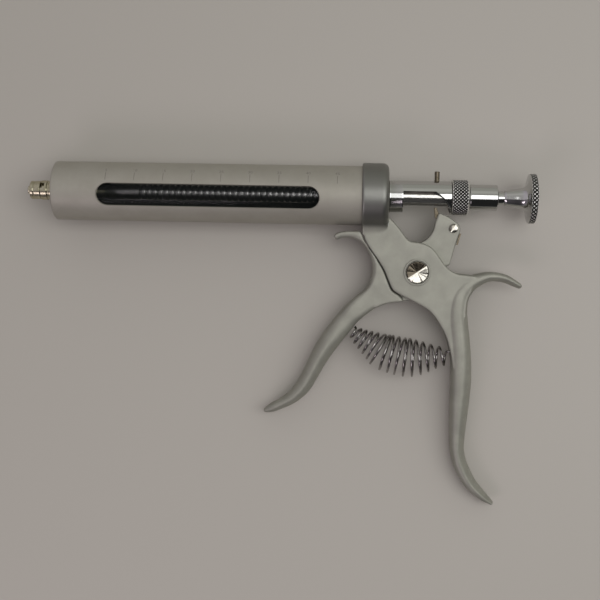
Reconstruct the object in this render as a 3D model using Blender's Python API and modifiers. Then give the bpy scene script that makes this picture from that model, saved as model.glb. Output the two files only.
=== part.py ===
"""A repeating veterinary syringe of 50 ml, lying on its side.

The pieces are drawn in the syringe's own frame, in millimetres: X runs along the barrel from the
muzzle (-X) to the thumb knob (+X), with 0 at the front edge of the collar, the handles point to -Y,
and Z is square to the flat of the frame. The root empty then rolls the syringe about its barrel, so
that it lies on its collar and on the tip of the rear handle.
"""
import math

import bmesh
import bpy
import numpy as np
from mathutils import Matrix, Vector

MM = 0.001
GAP = 0.3
WELD = 0.00001

# Driving dimensions in millimetres
COLLAR_RADIUS = 15.5
COLLAR_LENGTH = 12.5
CASING_RADIUS = 14.0
CASING_BORE = 12.85
CASING_FRONT = -146.0
WINDOW_FROM = -124.6
WINDOW_TO = -19.9
WINDOW_WIDTH = 10.3
WINDOW_CLOCK_DEG = 7.5
GLASS_RADIUS = 12.5
GLASS_BORE = 10.75
SEAL_RADIUS = 10.5
PISTON_FRONT = -137.7
MILLILITRE = 2.755
ROD_RADIUS = 3.6
RING_RADIUS = 3.65
RING_ROOT = 3.05
RING_COUNT = 51
RINGS_FROM = -106.0
SLEEVE_RADIUS = 4.4
SLEEVE_BORE = 3.95
GUIDE_RADIUS = 7.6
GUIDE_BORE = 4.75
GUIDE_END = 41.9
DOSE_RING_RADIUS = 8.35
DOSE_RING_FRONT = 42.2
DOSE_RING_END = 50.2
REAR_TUBE_RADIUS = 6.2
REAR_TUBE_END = 63.5
KNOB_NECK = 63.9
KNOB_NECK_RADIUS = 3.3
KNOB_RADIUS = 11.7
KNOB_RIM_FROM = 78.25
KNOB_END = 81.2
STUD_RADIUS = 2.3
STUD_END = 73.5
LUER_TIP = -160.8
OUTLET = 1.0
LOCK_FRONT = -159.3
LOCK_BACK = -154.4
NUT_FRONT = -154.1
NUT_BACK = -146.3
HUB_BACK = -138.0
PIN_X = 35.2
PIN_RADIUS = 1.15
PIN_TOP = 12.0
PLATE_HALF = 5.6
SLOT_HALF = 3.0
FILLER_HALF = 4.1
WEB_HALF = 2.6
HUB_REACH = 13.4
TRIGGER_HALF = 5.4
FORK_HALF = 1.3
PAWL_HALF = 1.0
PIVOT = (26.8, -35.6)
PAWL_PIVOT = (43.4, -14.6)
PIVOT_SCREW_RADIUS = 2.9
PIVOT_HEAD_RADIUS = 5.15
PIVOT_BUSH_RADIUS = 4.2
PAWL_SCREW_RADIUS = 1.2
DOSES = 5
DOSE_STEP_DEG = 40.0
SPRING_WIRE = 1.1
SPRING_COILS = 15
SPRING_SPREAD = 0.2
POINTS_PER_COIL = 9
ROLL_DEG = 4.2

# Outlines in the plane of the handles, each (x, y)
PLATE_LEFT = [(0.3, -15.2), (1.9, -20.8), (4.8, -25.5), (8.2, -30.1), (11.2, -34.8), (13.7, -40.4),
              (15.6, -44.1), (19.0, -46.4), (23.8, -48.7), (30.9, -52.3), (34.8, -55.5), (38.2, -60.2),
              (41.2, -65.8), (43.6, -73.0)]
PLATE_RIGHT = [(55.0, -36.9), (49.6, -36.3), (45.9, -35.9), (42.1, -34.1), (39.2, -31.3), (37.2, -28.5),
               (34.3, -24.8), (31.5, -22.8), (28.1, -21.7), (23.0, -20.9), (20.6, -18.6), (18.1, -15.3),
               (15.7, -12.6), (12.9, -9.8)]
FINGER_EDGE = [(-12.2, -20.8), (-11.2, -21.0), (-9.0, -20.1), (-5.2, -19.9), (-1.4, -21.0),
               (1.5, -23.3), (4.0, -27.1), (5.5, -31.4), (5.9, -35.2), (5.2, -39.5), (3.4, -43.4),
               (0.2, -46.6)]
TRIGGER_BACK_EDGE = [(7.5, -53.1), (12.2, -51.1), (16.5, -50.2), (20.4, -49.6), (18.6, -47.1),
                     (15.0, -44.7), (13.0, -40.8), (10.5, -35.0), (7.6, -30.4), (4.2, -25.8),
                     (1.3, -21.1), (-0.4, -17.0), (-4.0, -16.7), (-9.0, -17.1), (-12.0, -18.2),
                     (-12.9, -19.6)]
ARM_LEFT = [(28.5, -21.4), (30.4, -20.4), (32.2, -18.7), (34.0, -15.6), (34.9, -11.7), (36.2, -7.7)]
ARM_RIGHT = [(37.1, -7.5), (40.4, -8.9), (43.3, -10.6), (45.7, -12.7), (46.7, -15.2), (45.5, -19.1),
             (44.6, -22.4), (43.4, -27.2), (42.1, -32.0)]
PAWL_OUTLINE = [(34.2, -5.0), (35.3, -5.0), (36.4, -7.9), (38.4, -9.6), (44.3, -12.2), (42.4, -17.0),
                (37.6, -13.4), (34.6, -9.4)]

# Stations of the round handles, each (x, y, half width, half thickness)
REAR_HANDLE = [(75.6, -41.4, 1.3, 2.3), (72.2, -39.6, 1.75, 3.2), (68.7, -38.0, 2.0, 3.8),
               (64.6, -37.2, 2.15, 4.2), (60.3, -37.3, 2.4, 4.6), (55.9, -38.8, 2.95, 5.0),
               (52.3, -40.8, 3.5, 5.4), (49.3, -44.0, 4.0, 5.8), (47.4, -48.2, 4.3, 6.1),
               (46.7, -54.0, 4.6, 6.3), (47.2, -60.6, 4.8, 6.4), (48.2, -67.7, 4.75, 6.4),
               (49.0, -77.0, 4.9, 6.4), (49.3, -87.0, 5.0, 6.4), (49.0, -97.0, 4.65, 6.2),
               (48.6, -106.0, 4.2, 5.9), (48.3, -116.3, 3.6, 5.5), (48.8, -122.5, 3.35, 5.2),
               (50.8, -129.0, 3.3, 4.8), (55.3, -136.9, 3.0, 4.3), (61.0, -142.6, 2.3, 3.6),
               (65.7, -146.2, 1.1, 2.4)]
FRONT_HANDLE = [(9.5, -45.6, 4.6, 5.2), (6.0, -48.2, 4.9, 5.5), (1.2, -51.8, 4.9, 5.7),
                (-3.9, -56.5, 4.8, 5.8), (-7.9, -61.5, 4.9, 5.9), (-12.8, -68.0, 4.85, 5.9),
                (-16.5, -73.7, 4.6, 5.8), (-19.9, -79.8, 4.2, 5.6), (-22.9, -86.0, 3.9, 5.4),
                (-26.4, -92.2, 3.7, 5.1), (-31.0, -97.2, 3.1, 4.6), (-36.2, -100.4, 2.6, 4.0),
                (-41.0, -102.8, 2.2, 3.3), (-44.3, -104.2, 1.2, 2.2)]

# The return spring's middle line and the outer radius of its coils, each (x, y, radius)
SPRING_LINE = [(-2.9, -64.7, 2.8), (-0.6, -66.6, 4.1), (2.0, -68.4, 5.2), (5.3, -70.4, 6.5),
               (8.4, -72.2, 7.9), (11.0, -73.8, 8.9), (14.0, -74.9, 9.3), (20.8, -76.4, 9.5),
               (24.7, -76.8, 9.5), (28.3, -76.8, 8.7), (32.4, -76.5, 7.5), (36.4, -76.2, 5.9),
               (40.0, -76.0, 4.9), (42.7, -75.8, 2.8)]

ALONG_X = (0.0, math.radians(90.0), 0.0)
ALONG_Y = (math.radians(-90.0), 0.0, 0.0)
ALONG_Z = (0.0, 0.0, 0.0)


def clear_scene():
    for obj in list(bpy.data.objects):
        bpy.data.objects.remove(obj, do_unlink=True)


def new_collection(name):
    collection = bpy.data.collections.new(name)
    bpy.context.scene.collection.children.link(collection)
    return collection


def new_material(name, colour, metallic, roughness):
    material = bpy.data.materials.new(name)
    material.use_nodes = True
    shader = material.node_tree.nodes["Principled BSDF"]
    shader.inputs["Base Color"].default_value = (*colour, 1.0)
    shader.inputs["Metallic"].default_value = metallic
    shader.inputs["Roughness"].default_value = roughness
    return material


clear_scene()
SYRINGE = new_collection("veterinary_syringe")
CUTTERS = new_collection("cutters")

ALUMINIUM = new_material("satin_aluminium", (0.56, 0.54, 0.52), 1.0, 0.42)
CAST = new_material("cast_alloy", (0.54, 0.52, 0.50), 1.0, 0.40)
CHROME = new_material("chrome_plate", (0.62, 0.62, 0.61), 1.0, 0.14)
NICKEL = new_material("nickelled_brass", (0.62, 0.57, 0.47), 1.0, 0.25)
STEEL = new_material("spring_steel", (0.45, 0.43, 0.42), 1.0, 0.30)
BLACKENED = new_material("blackened_steel", (0.045, 0.045, 0.045), 0.6, 0.25)
GLASS = new_material("barrel_glass", (0.90, 0.93, 0.92), 0.0, 0.05)
RUBBER = new_material("black_rubber", (0.03, 0.03, 0.03), 0.0, 0.60)
NYLON = new_material("nylon", (0.72, 0.70, 0.64), 0.0, 0.50)


def empty(name, parent=None, location=(0.0, 0.0, 0.0)):
    obj = bpy.data.objects.new(name, None)
    obj.location = [c * MM for c in location]
    obj.parent = parent
    SYRINGE.objects.link(obj)
    return obj


def add_object(name, mesh, material, parent):
    """Put a mesh in the scene as a piece, or as a cutter where it has no material."""
    obj = bpy.data.objects.new(name, mesh)
    obj.parent = parent
    if material is None:
        obj.hide_render = True
        obj.display_type = "WIRE"
        CUTTERS.objects.link(obj)
    else:
        mesh.materials.append(material)
        SYRINGE.objects.link(obj)
    return obj


def smooth_shade(mesh, angle_deg=50.0):
    """Shade a mesh smooth, apart from the edges that turn by more than this angle."""
    mesh.shade_smooth()
    mesh.set_sharp_from_angle(angle=math.radians(angle_deg))


def revolve(name, material, parent, profile, closed, steps, at=(0.0, 0.0, 0.0), rotation=ALONG_X):
    """Turn a profile of (place on the axis, radius), which runs from its last place to its first."""
    verts = [(radius * MM, 0.0, place * MM) for place, radius in profile]
    edges = [(i, i + 1) for i in range(len(verts) - 1)]
    if closed:
        edges.append((len(verts) - 1, 0))
    mesh = bpy.data.meshes.new(name)
    mesh.from_pydata(verts, edges, [])
    obj = add_object(name, mesh, material, parent)
    obj.location = [c * MM for c in at]
    obj.rotation_euler = rotation
    screw = obj.modifiers.new("Turn", "SCREW")
    screw.axis = "Z"
    screw.steps = steps
    screw.render_steps = steps
    screw.use_merge_vertices = True
    screw.merge_threshold = WELD
    screw.use_smooth_shade = True
    return obj


def turned(name, material, parent, outer, bore=(), at=(0.0, 0.0, 0.0), steps=24, rotation=ALONG_X):
    """A turned piece, solid or with a through bore. Both profiles run by rising place on the axis."""
    profile = list(reversed(outer)) + list(bore)
    if not bore:
        profile = [(outer[-1][0], 0.0)] + profile + [(outer[0][0], 0.0)]
    return revolve(name, material, parent, profile, bool(bore), steps, at, rotation)


def smooth_line(points, steps):
    """Points of a Catmull-Rom curve through the given ones, with any number of columns."""
    rows = np.array(points, float)
    padded = np.vstack([2 * rows[0] - rows[1], rows, 2 * rows[-1] - rows[-2]])
    line = []
    for i in range(1, len(padded) - 2):
        before, a, b, after = padded[i - 1], padded[i], padded[i + 1], padded[i + 2]
        for t in np.linspace(0.0, 1.0, steps, endpoint=False):
            bend = 2 * before - 5 * a + 4 * b - after
            twist = 3 * (a - b) + after - before
            line.append(a + 0.5 * t * (b - before + t * (bend + t * twist)))
    line.append(rows[-1])
    return line


def curve_to_mesh(obj):
    """Replace a curve object with its mesh, whose caps are welded on."""
    evaluated = obj.evaluated_get(bpy.context.evaluated_depsgraph_get())
    mesh = bpy.data.meshes.new_from_object(evaluated)
    work = bmesh.new()
    work.from_mesh(mesh)
    bmesh.ops.remove_doubles(work, verts=work.verts, dist=WELD)
    bmesh.ops.dissolve_limit(work, angle_limit=math.radians(0.2), verts=work.verts, edges=work.edges)
    bmesh.ops.recalc_face_normals(work, faces=work.faces)
    work.to_mesh(mesh)
    work.free()
    bpy.data.objects.remove(obj, do_unlink=True)
    return mesh


def flat_piece(name, material, parent, points, low, high, origin=(0.0, 0.0), bevel=0.0):
    """A flat outline between two heights, drawn about an origin in the plane."""
    curve = bpy.data.curves.new(name, "CURVE")
    curve.dimensions = "2D"
    curve.fill_mode = "BOTH"
    curve.extrude = 0.5 * (high - low) * MM
    spline = curve.splines.new("POLY")
    spline.points.add(len(points) - 1)
    for spot, (x, y) in zip(spline.points, points):
        spot.co = ((x - origin[0]) * MM, (y - origin[1]) * MM, 0.0, 1.0)
    spline.use_cyclic_u = True
    guide = bpy.data.objects.new(name + "_curve", curve)
    CUTTERS.objects.link(guide)
    bpy.context.view_layer.update()
    mesh = curve_to_mesh(guide)
    mesh.name = name
    mesh.materials.clear()
    mesh.transform(Matrix.Translation((0.0, 0.0, 0.5 * (high + low) * MM)))
    obj = add_object(name, mesh, material, parent)
    if bevel:
        edge = obj.modifiers.new("Round", "BEVEL")
        edge.width = bevel * MM
        edge.segments = 1
        edge.limit_method = "ANGLE"
        edge.angle_limit = math.radians(50.0)
    return obj


def loft(name, material, parent, stations, origin=(0.0, 0.0), steps=2, sides=10):
    """A rounded bar through stations (x, y, half width, half thickness), with closed round ends."""
    line = smooth_line(stations, steps)
    work = bmesh.new()
    rings = []
    for i, (x, y, width, thickness) in enumerate(line):
        ahead = line[min(i + 1, len(line) - 1)]
        behind = line[max(i - 1, 0)]
        along = Vector((ahead[0] - behind[0], ahead[1] - behind[1], 0.0)).normalized()
        across = Vector((-along.y, along.x, 0.0))
        centre = Vector((x - origin[0], y - origin[1], 0.0))
        rings.append(section_ring(work, centre, across, width, thickness, sides))
        if i in (0, len(line) - 1):
            outward = -along if i == 0 else along
            inner = section_ring(work, centre + outward * width * 0.45, across,
                                 width * 0.6, thickness * 0.7, sides)
            if i == 0:
                rings.insert(0, inner)
            else:
                rings.append(inner)
    for near, far in zip(rings, rings[1:]):
        for k in range(sides):
            n = (k + 1) % sides
            work.faces.new((near[k], near[n], far[n], far[k]))
    work.faces.new(list(reversed(rings[0])))
    work.faces.new(rings[-1])
    bmesh.ops.recalc_face_normals(work, faces=work.faces)
    mesh = bpy.data.meshes.new(name)
    work.to_mesh(mesh)
    work.free()
    smooth_shade(mesh)
    return add_object(name, mesh, material, parent)


def section_ring(work, centre, across, width, thickness, sides):
    """One section of a bar: an oval whose flanks are a little fuller than an ellipse."""
    ring = []
    for k in range(sides):
        turn = 2 * math.pi * (k + 0.5) / sides
        side = math.copysign(abs(math.cos(turn)) ** 0.85, math.cos(turn)) * width
        height = math.copysign(abs(math.sin(turn)) ** 0.85, math.sin(turn)) * thickness
        spot = centre + across * side + Vector((0.0, 0.0, height))
        ring.append(work.verts.new(spot * MM))
    return ring


def boolean(obj, other, operation="DIFFERENCE"):
    modifier = obj.modifiers.new(other.name, "BOOLEAN")
    modifier.operation = operation
    modifier.solver = "EXACT"
    modifier.object = other
    return modifier


def merge_flats(obj):
    """Merge the coplanar faces that the booleans leave."""
    modifier = obj.modifiers.new("Merge flats", "DECIMATE")
    modifier.decimate_type = "DISSOLVE"
    modifier.angle_limit = math.radians(0.3)


def round_cutter(name, parent, radius, low, high, origin=(0.0, 0.0), steps=32):
    """An upright cylinder, square to the plane of the handles."""
    return turned(name, None, parent, [(low, radius), (high, radius)], at=(*origin, 0.0),
                  steps=steps, rotation=ALONG_Z)


def polar(origin, radius, degrees):
    angle = math.radians(degrees)
    return (origin[0] + radius * math.cos(angle), origin[1] + radius * math.sin(angle))


def sector(origin, inner, outer, from_deg, to_deg, steps=8):
    """Outline of a ring sector about a point."""
    turns = np.linspace(from_deg, to_deg, steps + 1)
    return [polar(origin, outer, t) for t in turns] + [polar(origin, inner, t) for t in reversed(turns)]


def relative(point, origin):
    return (point[0] - origin[0], point[1] - origin[1])


# Barrel: casing with two windows, glass and its gaskets
def slot_outline(x_from, x_to, width, steps=8):
    """A slot with round ends along X, about y = 0."""
    half = width / 2
    right = [polar((x_to - half, 0.0), half, t) for t in np.linspace(-90.0, 90.0, steps + 1)]
    left = [polar((x_from + half, 0.0), half, t) for t in np.linspace(90.0, 270.0, steps + 1)]
    return right + left


def make_barrel(root):
    wall = 2.0
    casing = turned("barrel_casing", ALUMINIUM, root,
                    [(CASING_FRONT, CASING_RADIUS - 0.9), (CASING_FRONT + 0.3, CASING_RADIUS - 0.3),
                     (CASING_FRONT + 0.9, CASING_RADIUS), (10.0, CASING_RADIUS)],
                    [(CASING_FRONT, 3.7), (CASING_FRONT + wall, 3.7), (CASING_FRONT + wall, CASING_BORE),
                     (10.0, CASING_BORE)], steps=40)
    windows = flat_piece("cut_windows", None, root, slot_outline(WINDOW_FROM, WINDOW_TO, WINDOW_WIDTH),
                         -20.0, 20.0)
    windows.rotation_euler = (math.radians(WINDOW_CLOCK_DEG), 0.0, 0.0)
    boolean(casing, windows)
    turned("glass_barrel", GLASS, root, [(-138.9, GLASS_RADIUS), (9.2, GLASS_RADIUS)],
           [(-138.9, GLASS_BORE), (9.2, GLASS_BORE)], steps=32)
    turned("front_gasket", RUBBER, root, [(-139.9, GLASS_RADIUS), (-139.2, GLASS_RADIUS)],
           [(-139.9, GLASS_BORE), (-139.2, GLASS_BORE)])
    turned("rear_gasket", RUBBER, root, [(9.5, GLASS_RADIUS), (10.3, GLASS_RADIUS)],
           [(9.5, GLASS_BORE), (10.3, GLASS_BORE)])


# Nozzle: hub inside the casing, its nut, the cone and the lock sleeve round it
def make_nozzle(root):
    turned("nozzle_hub", NICKEL, root,
           [(-152.3, 3.0), (-143.7, 3.3), (-143.7, GLASS_RADIUS), (-140.2, GLASS_RADIUS),
            (-140.2, 10.4), (HUB_BACK, 10.4)], [(-152.3, OUTLET), (HUB_BACK, OUTLET)])
    turned("nozzle_nut", NICKEL, root,
           [(NUT_FRONT, 4.2), (NUT_FRONT + 0.4, 4.7), (NUT_BACK - 0.7, 4.7), (NUT_BACK, 4.4)],
           [(NUT_FRONT, 3.6), (NUT_BACK, 3.6)])
    turned("luer_cone", NICKEL, root,
           [(LUER_TIP, 1.85), (LUER_TIP + 0.3, 1.97), (-153.9, 2.17), (-153.9, 3.2), (-152.6, 3.2)],
           [(LUER_TIP, OUTLET), (-152.6, OUTLET)], steps=20)
    turned("luer_lock_sleeve", NICKEL, root,
           [(LOCK_FRONT, 4.15), (LOCK_FRONT + 0.3, 4.4), (LOCK_BACK, 4.4)],
           [(LOCK_FRONT, 3.6), (-155.6, 3.6), (-155.6, 2.5), (LOCK_BACK, 2.5)])


# Piston: two plates with the seal between them, screwed up by the rod
def make_piston(plunger):
    turned("piston_front_plate", NICKEL, plunger,
           [(PISTON_FRONT, 10.1), (PISTON_FRONT + 1.5, 10.1), (PISTON_FRONT + 1.5, 2.0), (-127.0, 2.0)])
    turned("piston_seal", RUBBER, plunger,
           [(-135.9, 9.8), (-135.5, SEAL_RADIUS), (-134.3, SEAL_RADIUS), (-133.4, 10.0),
            (-132.5, SEAL_RADIUS), (-131.3, SEAL_RADIUS), (-130.9, 9.8)],
           [(-135.9, 2.3), (-130.9, 2.3)])
    turned("piston_rear_plate", NICKEL, plunger, [(-130.6, 10.1), (-129.1, 10.1)],
           [(-130.6, 2.3), (-129.1, 2.3)])


# Rod with its ratchet rings, and the thumb knob whose neck is screwed on its end
def make_rod(rod):
    profile = [(-128.8, 3.2), (-128.4, ROD_RADIUS), (RINGS_FROM - 0.5, ROD_RADIUS)]
    for ring in range(RING_COUNT):
        foot = RINGS_FROM + ring * MILLILITRE
        profile += [(foot, RING_ROOT), (foot + 0.85 * MILLILITRE, RING_RADIUS)]
    rings_to = RINGS_FROM + RING_COUNT * MILLILITRE
    profile += [(rings_to, RING_ROOT), (rings_to + 0.6, ROD_RADIUS),
                (KNOB_NECK - GAP, ROD_RADIUS), (KNOB_NECK - GAP, STUD_RADIUS),
                (STUD_END, STUD_RADIUS)]
    blind_bore = [(-128.8, 2.3), (-126.3, 2.3), (-126.3, 0.0)]
    revolve("piston_rod", BLACKENED, rod, [(STUD_END, 0.0)] + list(reversed(profile)) + blind_bore,
            False, steps=10)
    bore = STUD_RADIUS + GAP
    knob = [(KNOB_END, 0.0), (KNOB_END, KNOB_RADIUS - 0.2), (KNOB_END - 0.2, KNOB_RADIUS),
            (KNOB_RIM_FROM + 0.2, KNOB_RADIUS), (KNOB_RIM_FROM, KNOB_RADIUS - 0.2), (78.2, 9.6), (77.9, 8.0),
            (77.3, 6.6), (76.3, 5.6), (75.0, 5.0), (67.0, 3.65), (66.6, KNOB_NECK_RADIUS),
            (KNOB_NECK, KNOB_NECK_RADIUS), (KNOB_NECK, bore), (STUD_END + GAP, bore), (STUD_END + GAP, 0.0)]
    revolve("thumb_knob", CHROME, rod, knob, False, steps=28)


# Guide tube behind the collar, cut away on the side of the handles where the pawl works
def make_guide(root):
    tube = turned("guide_tube", CHROME, root,
                  [(10.7, 6.9), (12.8, 6.9), (12.8, GUIDE_RADIUS - 0.3), (13.1, GUIDE_RADIUS),
                   (GUIDE_END - 0.3, GUIDE_RADIUS), (GUIDE_END, GUIDE_RADIUS - 0.3), (GUIDE_END, 5.6),
                   (46.0, 5.6)],
                  [(10.7, ROD_RADIUS + 0.35), (13.5, ROD_RADIUS + 0.35), (13.5, GUIDE_BORE),
                   (46.0, GUIDE_BORE)])
    notch = [(19.2, 2.4), (34.0, 2.4), (36.5, 0.4), (39.2, -2.0), (41.1, -5.2), (41.6, -7.2),
             (41.6, -9.0), (19.2, -9.0)]
    boolean(tube, flat_piece("cut_notch", None, root, notch, -12.0, 12.0))
    hole = turned("cut_pin_hole", None, root, [(3.0, PIN_RADIUS + GAP), (PIN_TOP, PIN_RADIUS + GAP)],
                  at=(PIN_X, 0.0, 0.0), steps=16, rotation=ALONG_Y)
    boolean(tube, hole)
    turned("index_pin", STEEL, root,
           [(GUIDE_BORE, PIN_RADIUS), (PIN_TOP - 0.4, PIN_RADIUS), (PIN_TOP, PIN_RADIUS - 0.35)],
           at=(PIN_X, 0.0, 0.0), steps=16, rotation=ALONG_Y)


# Dose adjuster: knurled ring, slotted sleeve inside the guide tube, and the rear tube
def make_dose_adjuster(dose):
    sleeve = turned("dose_sleeve", NICKEL, dose, [(13.9, SLEEVE_RADIUS), (47.6, SLEEVE_RADIUS)],
                    [(13.9, SLEEVE_BORE), (47.6, SLEEVE_BORE)], steps=36)
    for n in range(DOSES):
        length = 2.0 + (DOSES - n) * MILLILITRE
        slot = slot_outline(20.5, 20.5 + length, 2.6, steps=4)
        cutter = flat_piece("cut_dose_slot_%d" % (n + 1), None, dose, slot, 2.0, 6.0)
        cutter.rotation_euler = (math.radians(90.0 + n * DOSE_STEP_DEG), 0.0, 0.0)
        boolean(sleeve, cutter)
    turned("dose_ring", CHROME, dose,
           [(DOSE_RING_FRONT, DOSE_RING_RADIUS - 0.4), (DOSE_RING_FRONT + 0.4, DOSE_RING_RADIUS),
            (DOSE_RING_END - 0.8, DOSE_RING_RADIUS), (DOSE_RING_END, 7.4)],
           [(DOSE_RING_FRONT, 5.95), (46.3, 5.95), (46.3, SLEEVE_RADIUS + GAP), (47.9, SLEEVE_RADIUS + GAP),
            (47.9, 5.05), (DOSE_RING_END, 5.05)], steps=28)
    turned("rear_tube", CHROME, dose,
           [(48.2, 4.75), (50.5, 4.75), (50.5, REAR_TUBE_RADIUS), (REAR_TUBE_END - 0.6, REAR_TUBE_RADIUS),
            (REAR_TUBE_END, REAR_TUBE_RADIUS - 0.6)],
           [(48.2, 4.0), (59.7, 4.0), (59.7, 5.0), (REAR_TUBE_END, 5.0)])
    turned("rod_bush", NYLON, dose, [(60.0, 4.7), (63.2, 4.7)], [(60.0, 3.9), (63.2, 3.9)])


# Frame: collar, two cheeks round the trigger's web, and the rear handle with its thumb horn
def neck_outline():
    """Solid middle of the plate under the collar, beside the arm's sweep."""
    right = [(20.2, -19.2), (17.8, -15.8), (15.3, -12.9), (12.0, -9.7), (11.2, -8.6), (2.2, -8.6)]
    arc = [polar(PIVOT, HUB_REACH, t) for t in (140.0, 131.0, 122.0, 113.0)]
    return arc + right + [polar(PIVOT, 32.0, 140.0)]


def root_outline():
    """Solid middle of the plate where the rear handle grows out of it."""
    arc = [polar(PIVOT, HUB_REACH, t) for t in (368.0, 349.0, 330.0, 311.0, 292.0)]
    low = [polar(PIVOT, 21.0, 292.5), (38.6, -59.9), (41.6, -65.4), (44.2, -72.0)]
    inside_handle = [(47.0, -66.0), (46.5, -52.0), (50.0, -42.0), (50.0, -37.0)]
    return arc + low + inside_handle + [(45.9, -36.4), (42.2, -34.8)]


def make_frame(root):
    outline = smooth_line(PLATE_LEFT, 2) + [(48.0, -66.0), (47.5, -52.0), (51.5, -41.5)]
    outline += smooth_line(PLATE_RIGHT, 2) + [(11.4, -8.0), (0.3, -8.0)]
    frame = flat_piece("frame", CAST, root, outline, SLOT_HALF, PLATE_HALF)
    boolean(frame, flat_piece("join_far_cheek", None, root, outline, -PLATE_HALF, -SLOT_HALF), "UNION")
    boolean(frame, flat_piece("join_neck", None, root, neck_outline(), -FILLER_HALF, FILLER_HALF), "UNION")
    handle_root = flat_piece("join_handle_root", None, root, root_outline(), -FILLER_HALF - 0.1,
                             FILLER_HALF + 0.1)
    boolean(frame, handle_root, "UNION")
    boolean(frame, loft("join_rear_handle", None, root, REAR_HANDLE), "UNION")
    collar = turned("join_collar", None, root,
                    [(0.0, COLLAR_RADIUS - 0.5), (0.5, COLLAR_RADIUS), (9.5, COLLAR_RADIUS),
                     (11.4, COLLAR_RADIUS - 0.6), (COLLAR_LENGTH, COLLAR_RADIUS - 2.2)],
                    [(0.0, 5.0), (COLLAR_LENGTH, 5.0)], steps=40)
    boolean(frame, collar, "UNION")
    boolean(frame, round_cutter("cut_pivot", root, PIVOT_SCREW_RADIUS + GAP, -9.0, 9.0, PIVOT, 24))
    bore = turned("cut_bores", None, root,
                  [(-4.0, CASING_RADIUS + GAP), (10.6, CASING_RADIUS + GAP), (10.6, 7.2), (12.6, 7.2),
                   (12.6, GUIDE_RADIUS + GAP), (44.0, GUIDE_RADIUS + GAP)], steps=40)
    boolean(frame, bore)
    merge_flats(frame)
    make_pivot(root)


def make_pivot(root):
    """The large slotted screw through both cheeks and its nut on the far side."""
    head = PLATE_HALF + GAP
    rim = PIVOT_HEAD_RADIUS
    screw = turned("pivot_screw", NICKEL, root,
                   [(-head - 0.6, PIVOT_SCREW_RADIUS), (head, PIVOT_SCREW_RADIUS), (head, rim),
                    (head + 0.9, rim), (head + 1.2, rim - 0.35)], at=(*PIVOT, 0.0), rotation=ALONG_Z)
    driver = flat_piece("cut_driver_slot", None, root, [(-7.0, -0.6), (7.0, -0.6), (7.0, 0.6), (-7.0, 0.6)],
                        head + 0.6, head + 3.0)
    driver.location = (PIVOT[0] * MM, PIVOT[1] * MM, 0.0)
    driver.rotation_euler = (0.0, 0.0, math.radians(35.0))
    boolean(screw, driver)
    nut = [(-head - 0.9, 0.0), (-head - 0.9, PIVOT_SCREW_RADIUS + GAP), (-head, PIVOT_SCREW_RADIUS + GAP),
           (-head, rim), (-head - 0.9, rim), (-head - 1.3, rim - 0.55), (-head - 1.3, 0.0)]
    revolve("pivot_nut", NICKEL, root, nut, False, 24, at=(*PIVOT, 0.0), rotation=ALONG_Z)


# Trigger: front handle, finger hook, web between the cheeks and the forked arm
def web_outline():
    """The thin web: from the grip body round the hub and up the arm to its end."""
    grip_side = [polar(PIVOT, 24.0, 147.0), (3.5, -24.9), (6.3, -31.0), (8.0, -35.2), (8.2, -40.5),
                 (6.0, -46.0), (6.0, -49.5), (12.0, -50.4), (17.0, -49.9), (24.1, -49.3)]
    under_hub = [polar(PIVOT, 12.2, t) for t in np.linspace(266.0, 371.0, 8)]
    arm = ARM_RIGHT[::-1] + ARM_LEFT[::-1]
    over_hub = [polar(PIVOT, 12.2, t) for t in np.linspace(90.0, 145.0, 5)]
    return grip_side + under_hub + arm + over_hub


def make_trigger(trigger):
    body = flat_piece("trigger", CAST, trigger, web_outline(), -WEB_HALF, WEB_HALF, PIVOT)
    thick = smooth_line(FINGER_EDGE, 2) + [(3.0, -49.0)] + smooth_line(TRIGGER_BACK_EDGE, 2)
    grip = flat_piece("join_grip_body", None, trigger, thick, -TRIGGER_HALF, TRIGGER_HALF, PIVOT, 0.8)
    boolean(body, grip, "UNION")
    boolean(body, loft("join_front_handle", None, trigger, FRONT_HANDLE, PIVOT), "UNION")
    fork = sector(PIVOT, 20.5, 36.0, 38.0, 80.0)
    boolean(body, flat_piece("cut_fork", None, trigger, fork, -FORK_HALF, FORK_HALF, PIVOT))
    boolean(body, round_cutter("cut_hub_bore", trigger, PIVOT_BUSH_RADIUS + GAP, -9.0, 9.0, steps=24))
    spot = relative(PAWL_PIVOT, PIVOT)
    boolean(body, round_cutter("cut_pawl_bore", trigger, PAWL_SCREW_RADIUS + GAP, -9.0, 9.0, spot, 16))
    merge_flats(body)
    inner = PIVOT_SCREW_RADIUS + GAP
    turned("pivot_bush", NYLON, trigger, [(-2.5, PIVOT_BUSH_RADIUS), (2.5, PIVOT_BUSH_RADIUS)],
           [(-2.5, inner), (2.5, inner)], rotation=ALONG_Z)
    turned("pawl_screw", NICKEL, trigger,
           [(-WEB_HALF - 0.6, PAWL_SCREW_RADIUS), (WEB_HALF + GAP, PAWL_SCREW_RADIUS), (WEB_HALF + GAP, 2.1),
            (WEB_HALF + 0.9, 2.1), (WEB_HALF + 1.2, 1.6)],
           at=(*spot, 0.0), steps=20, rotation=ALONG_Z)
    leaf = [(46.6, -16.9), (47.3, -17.0), (46.55, -19.7), (45.8, -22.5), (45.05, -22.3), (45.8, -19.4)]
    flat_piece("pawl_spring", STEEL, trigger, leaf, -1.0, 1.0, PIVOT)


# Pawl, on its own axis in the arm's fork
def make_pawl(pawl):
    body = flat_piece("pawl", NICKEL, pawl, PAWL_OUTLINE, -PAWL_HALF, PAWL_HALF, PAWL_PIVOT)
    eye = round_cutter("join_pawl_eye", pawl, 2.7, -PAWL_HALF + 0.01, PAWL_HALF - 0.01, steps=24)
    boolean(body, eye, "UNION")
    boolean(body, round_cutter("cut_pawl_eye", pawl, PAWL_SCREW_RADIUS + GAP, -4.0, 4.0, steps=20))


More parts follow.
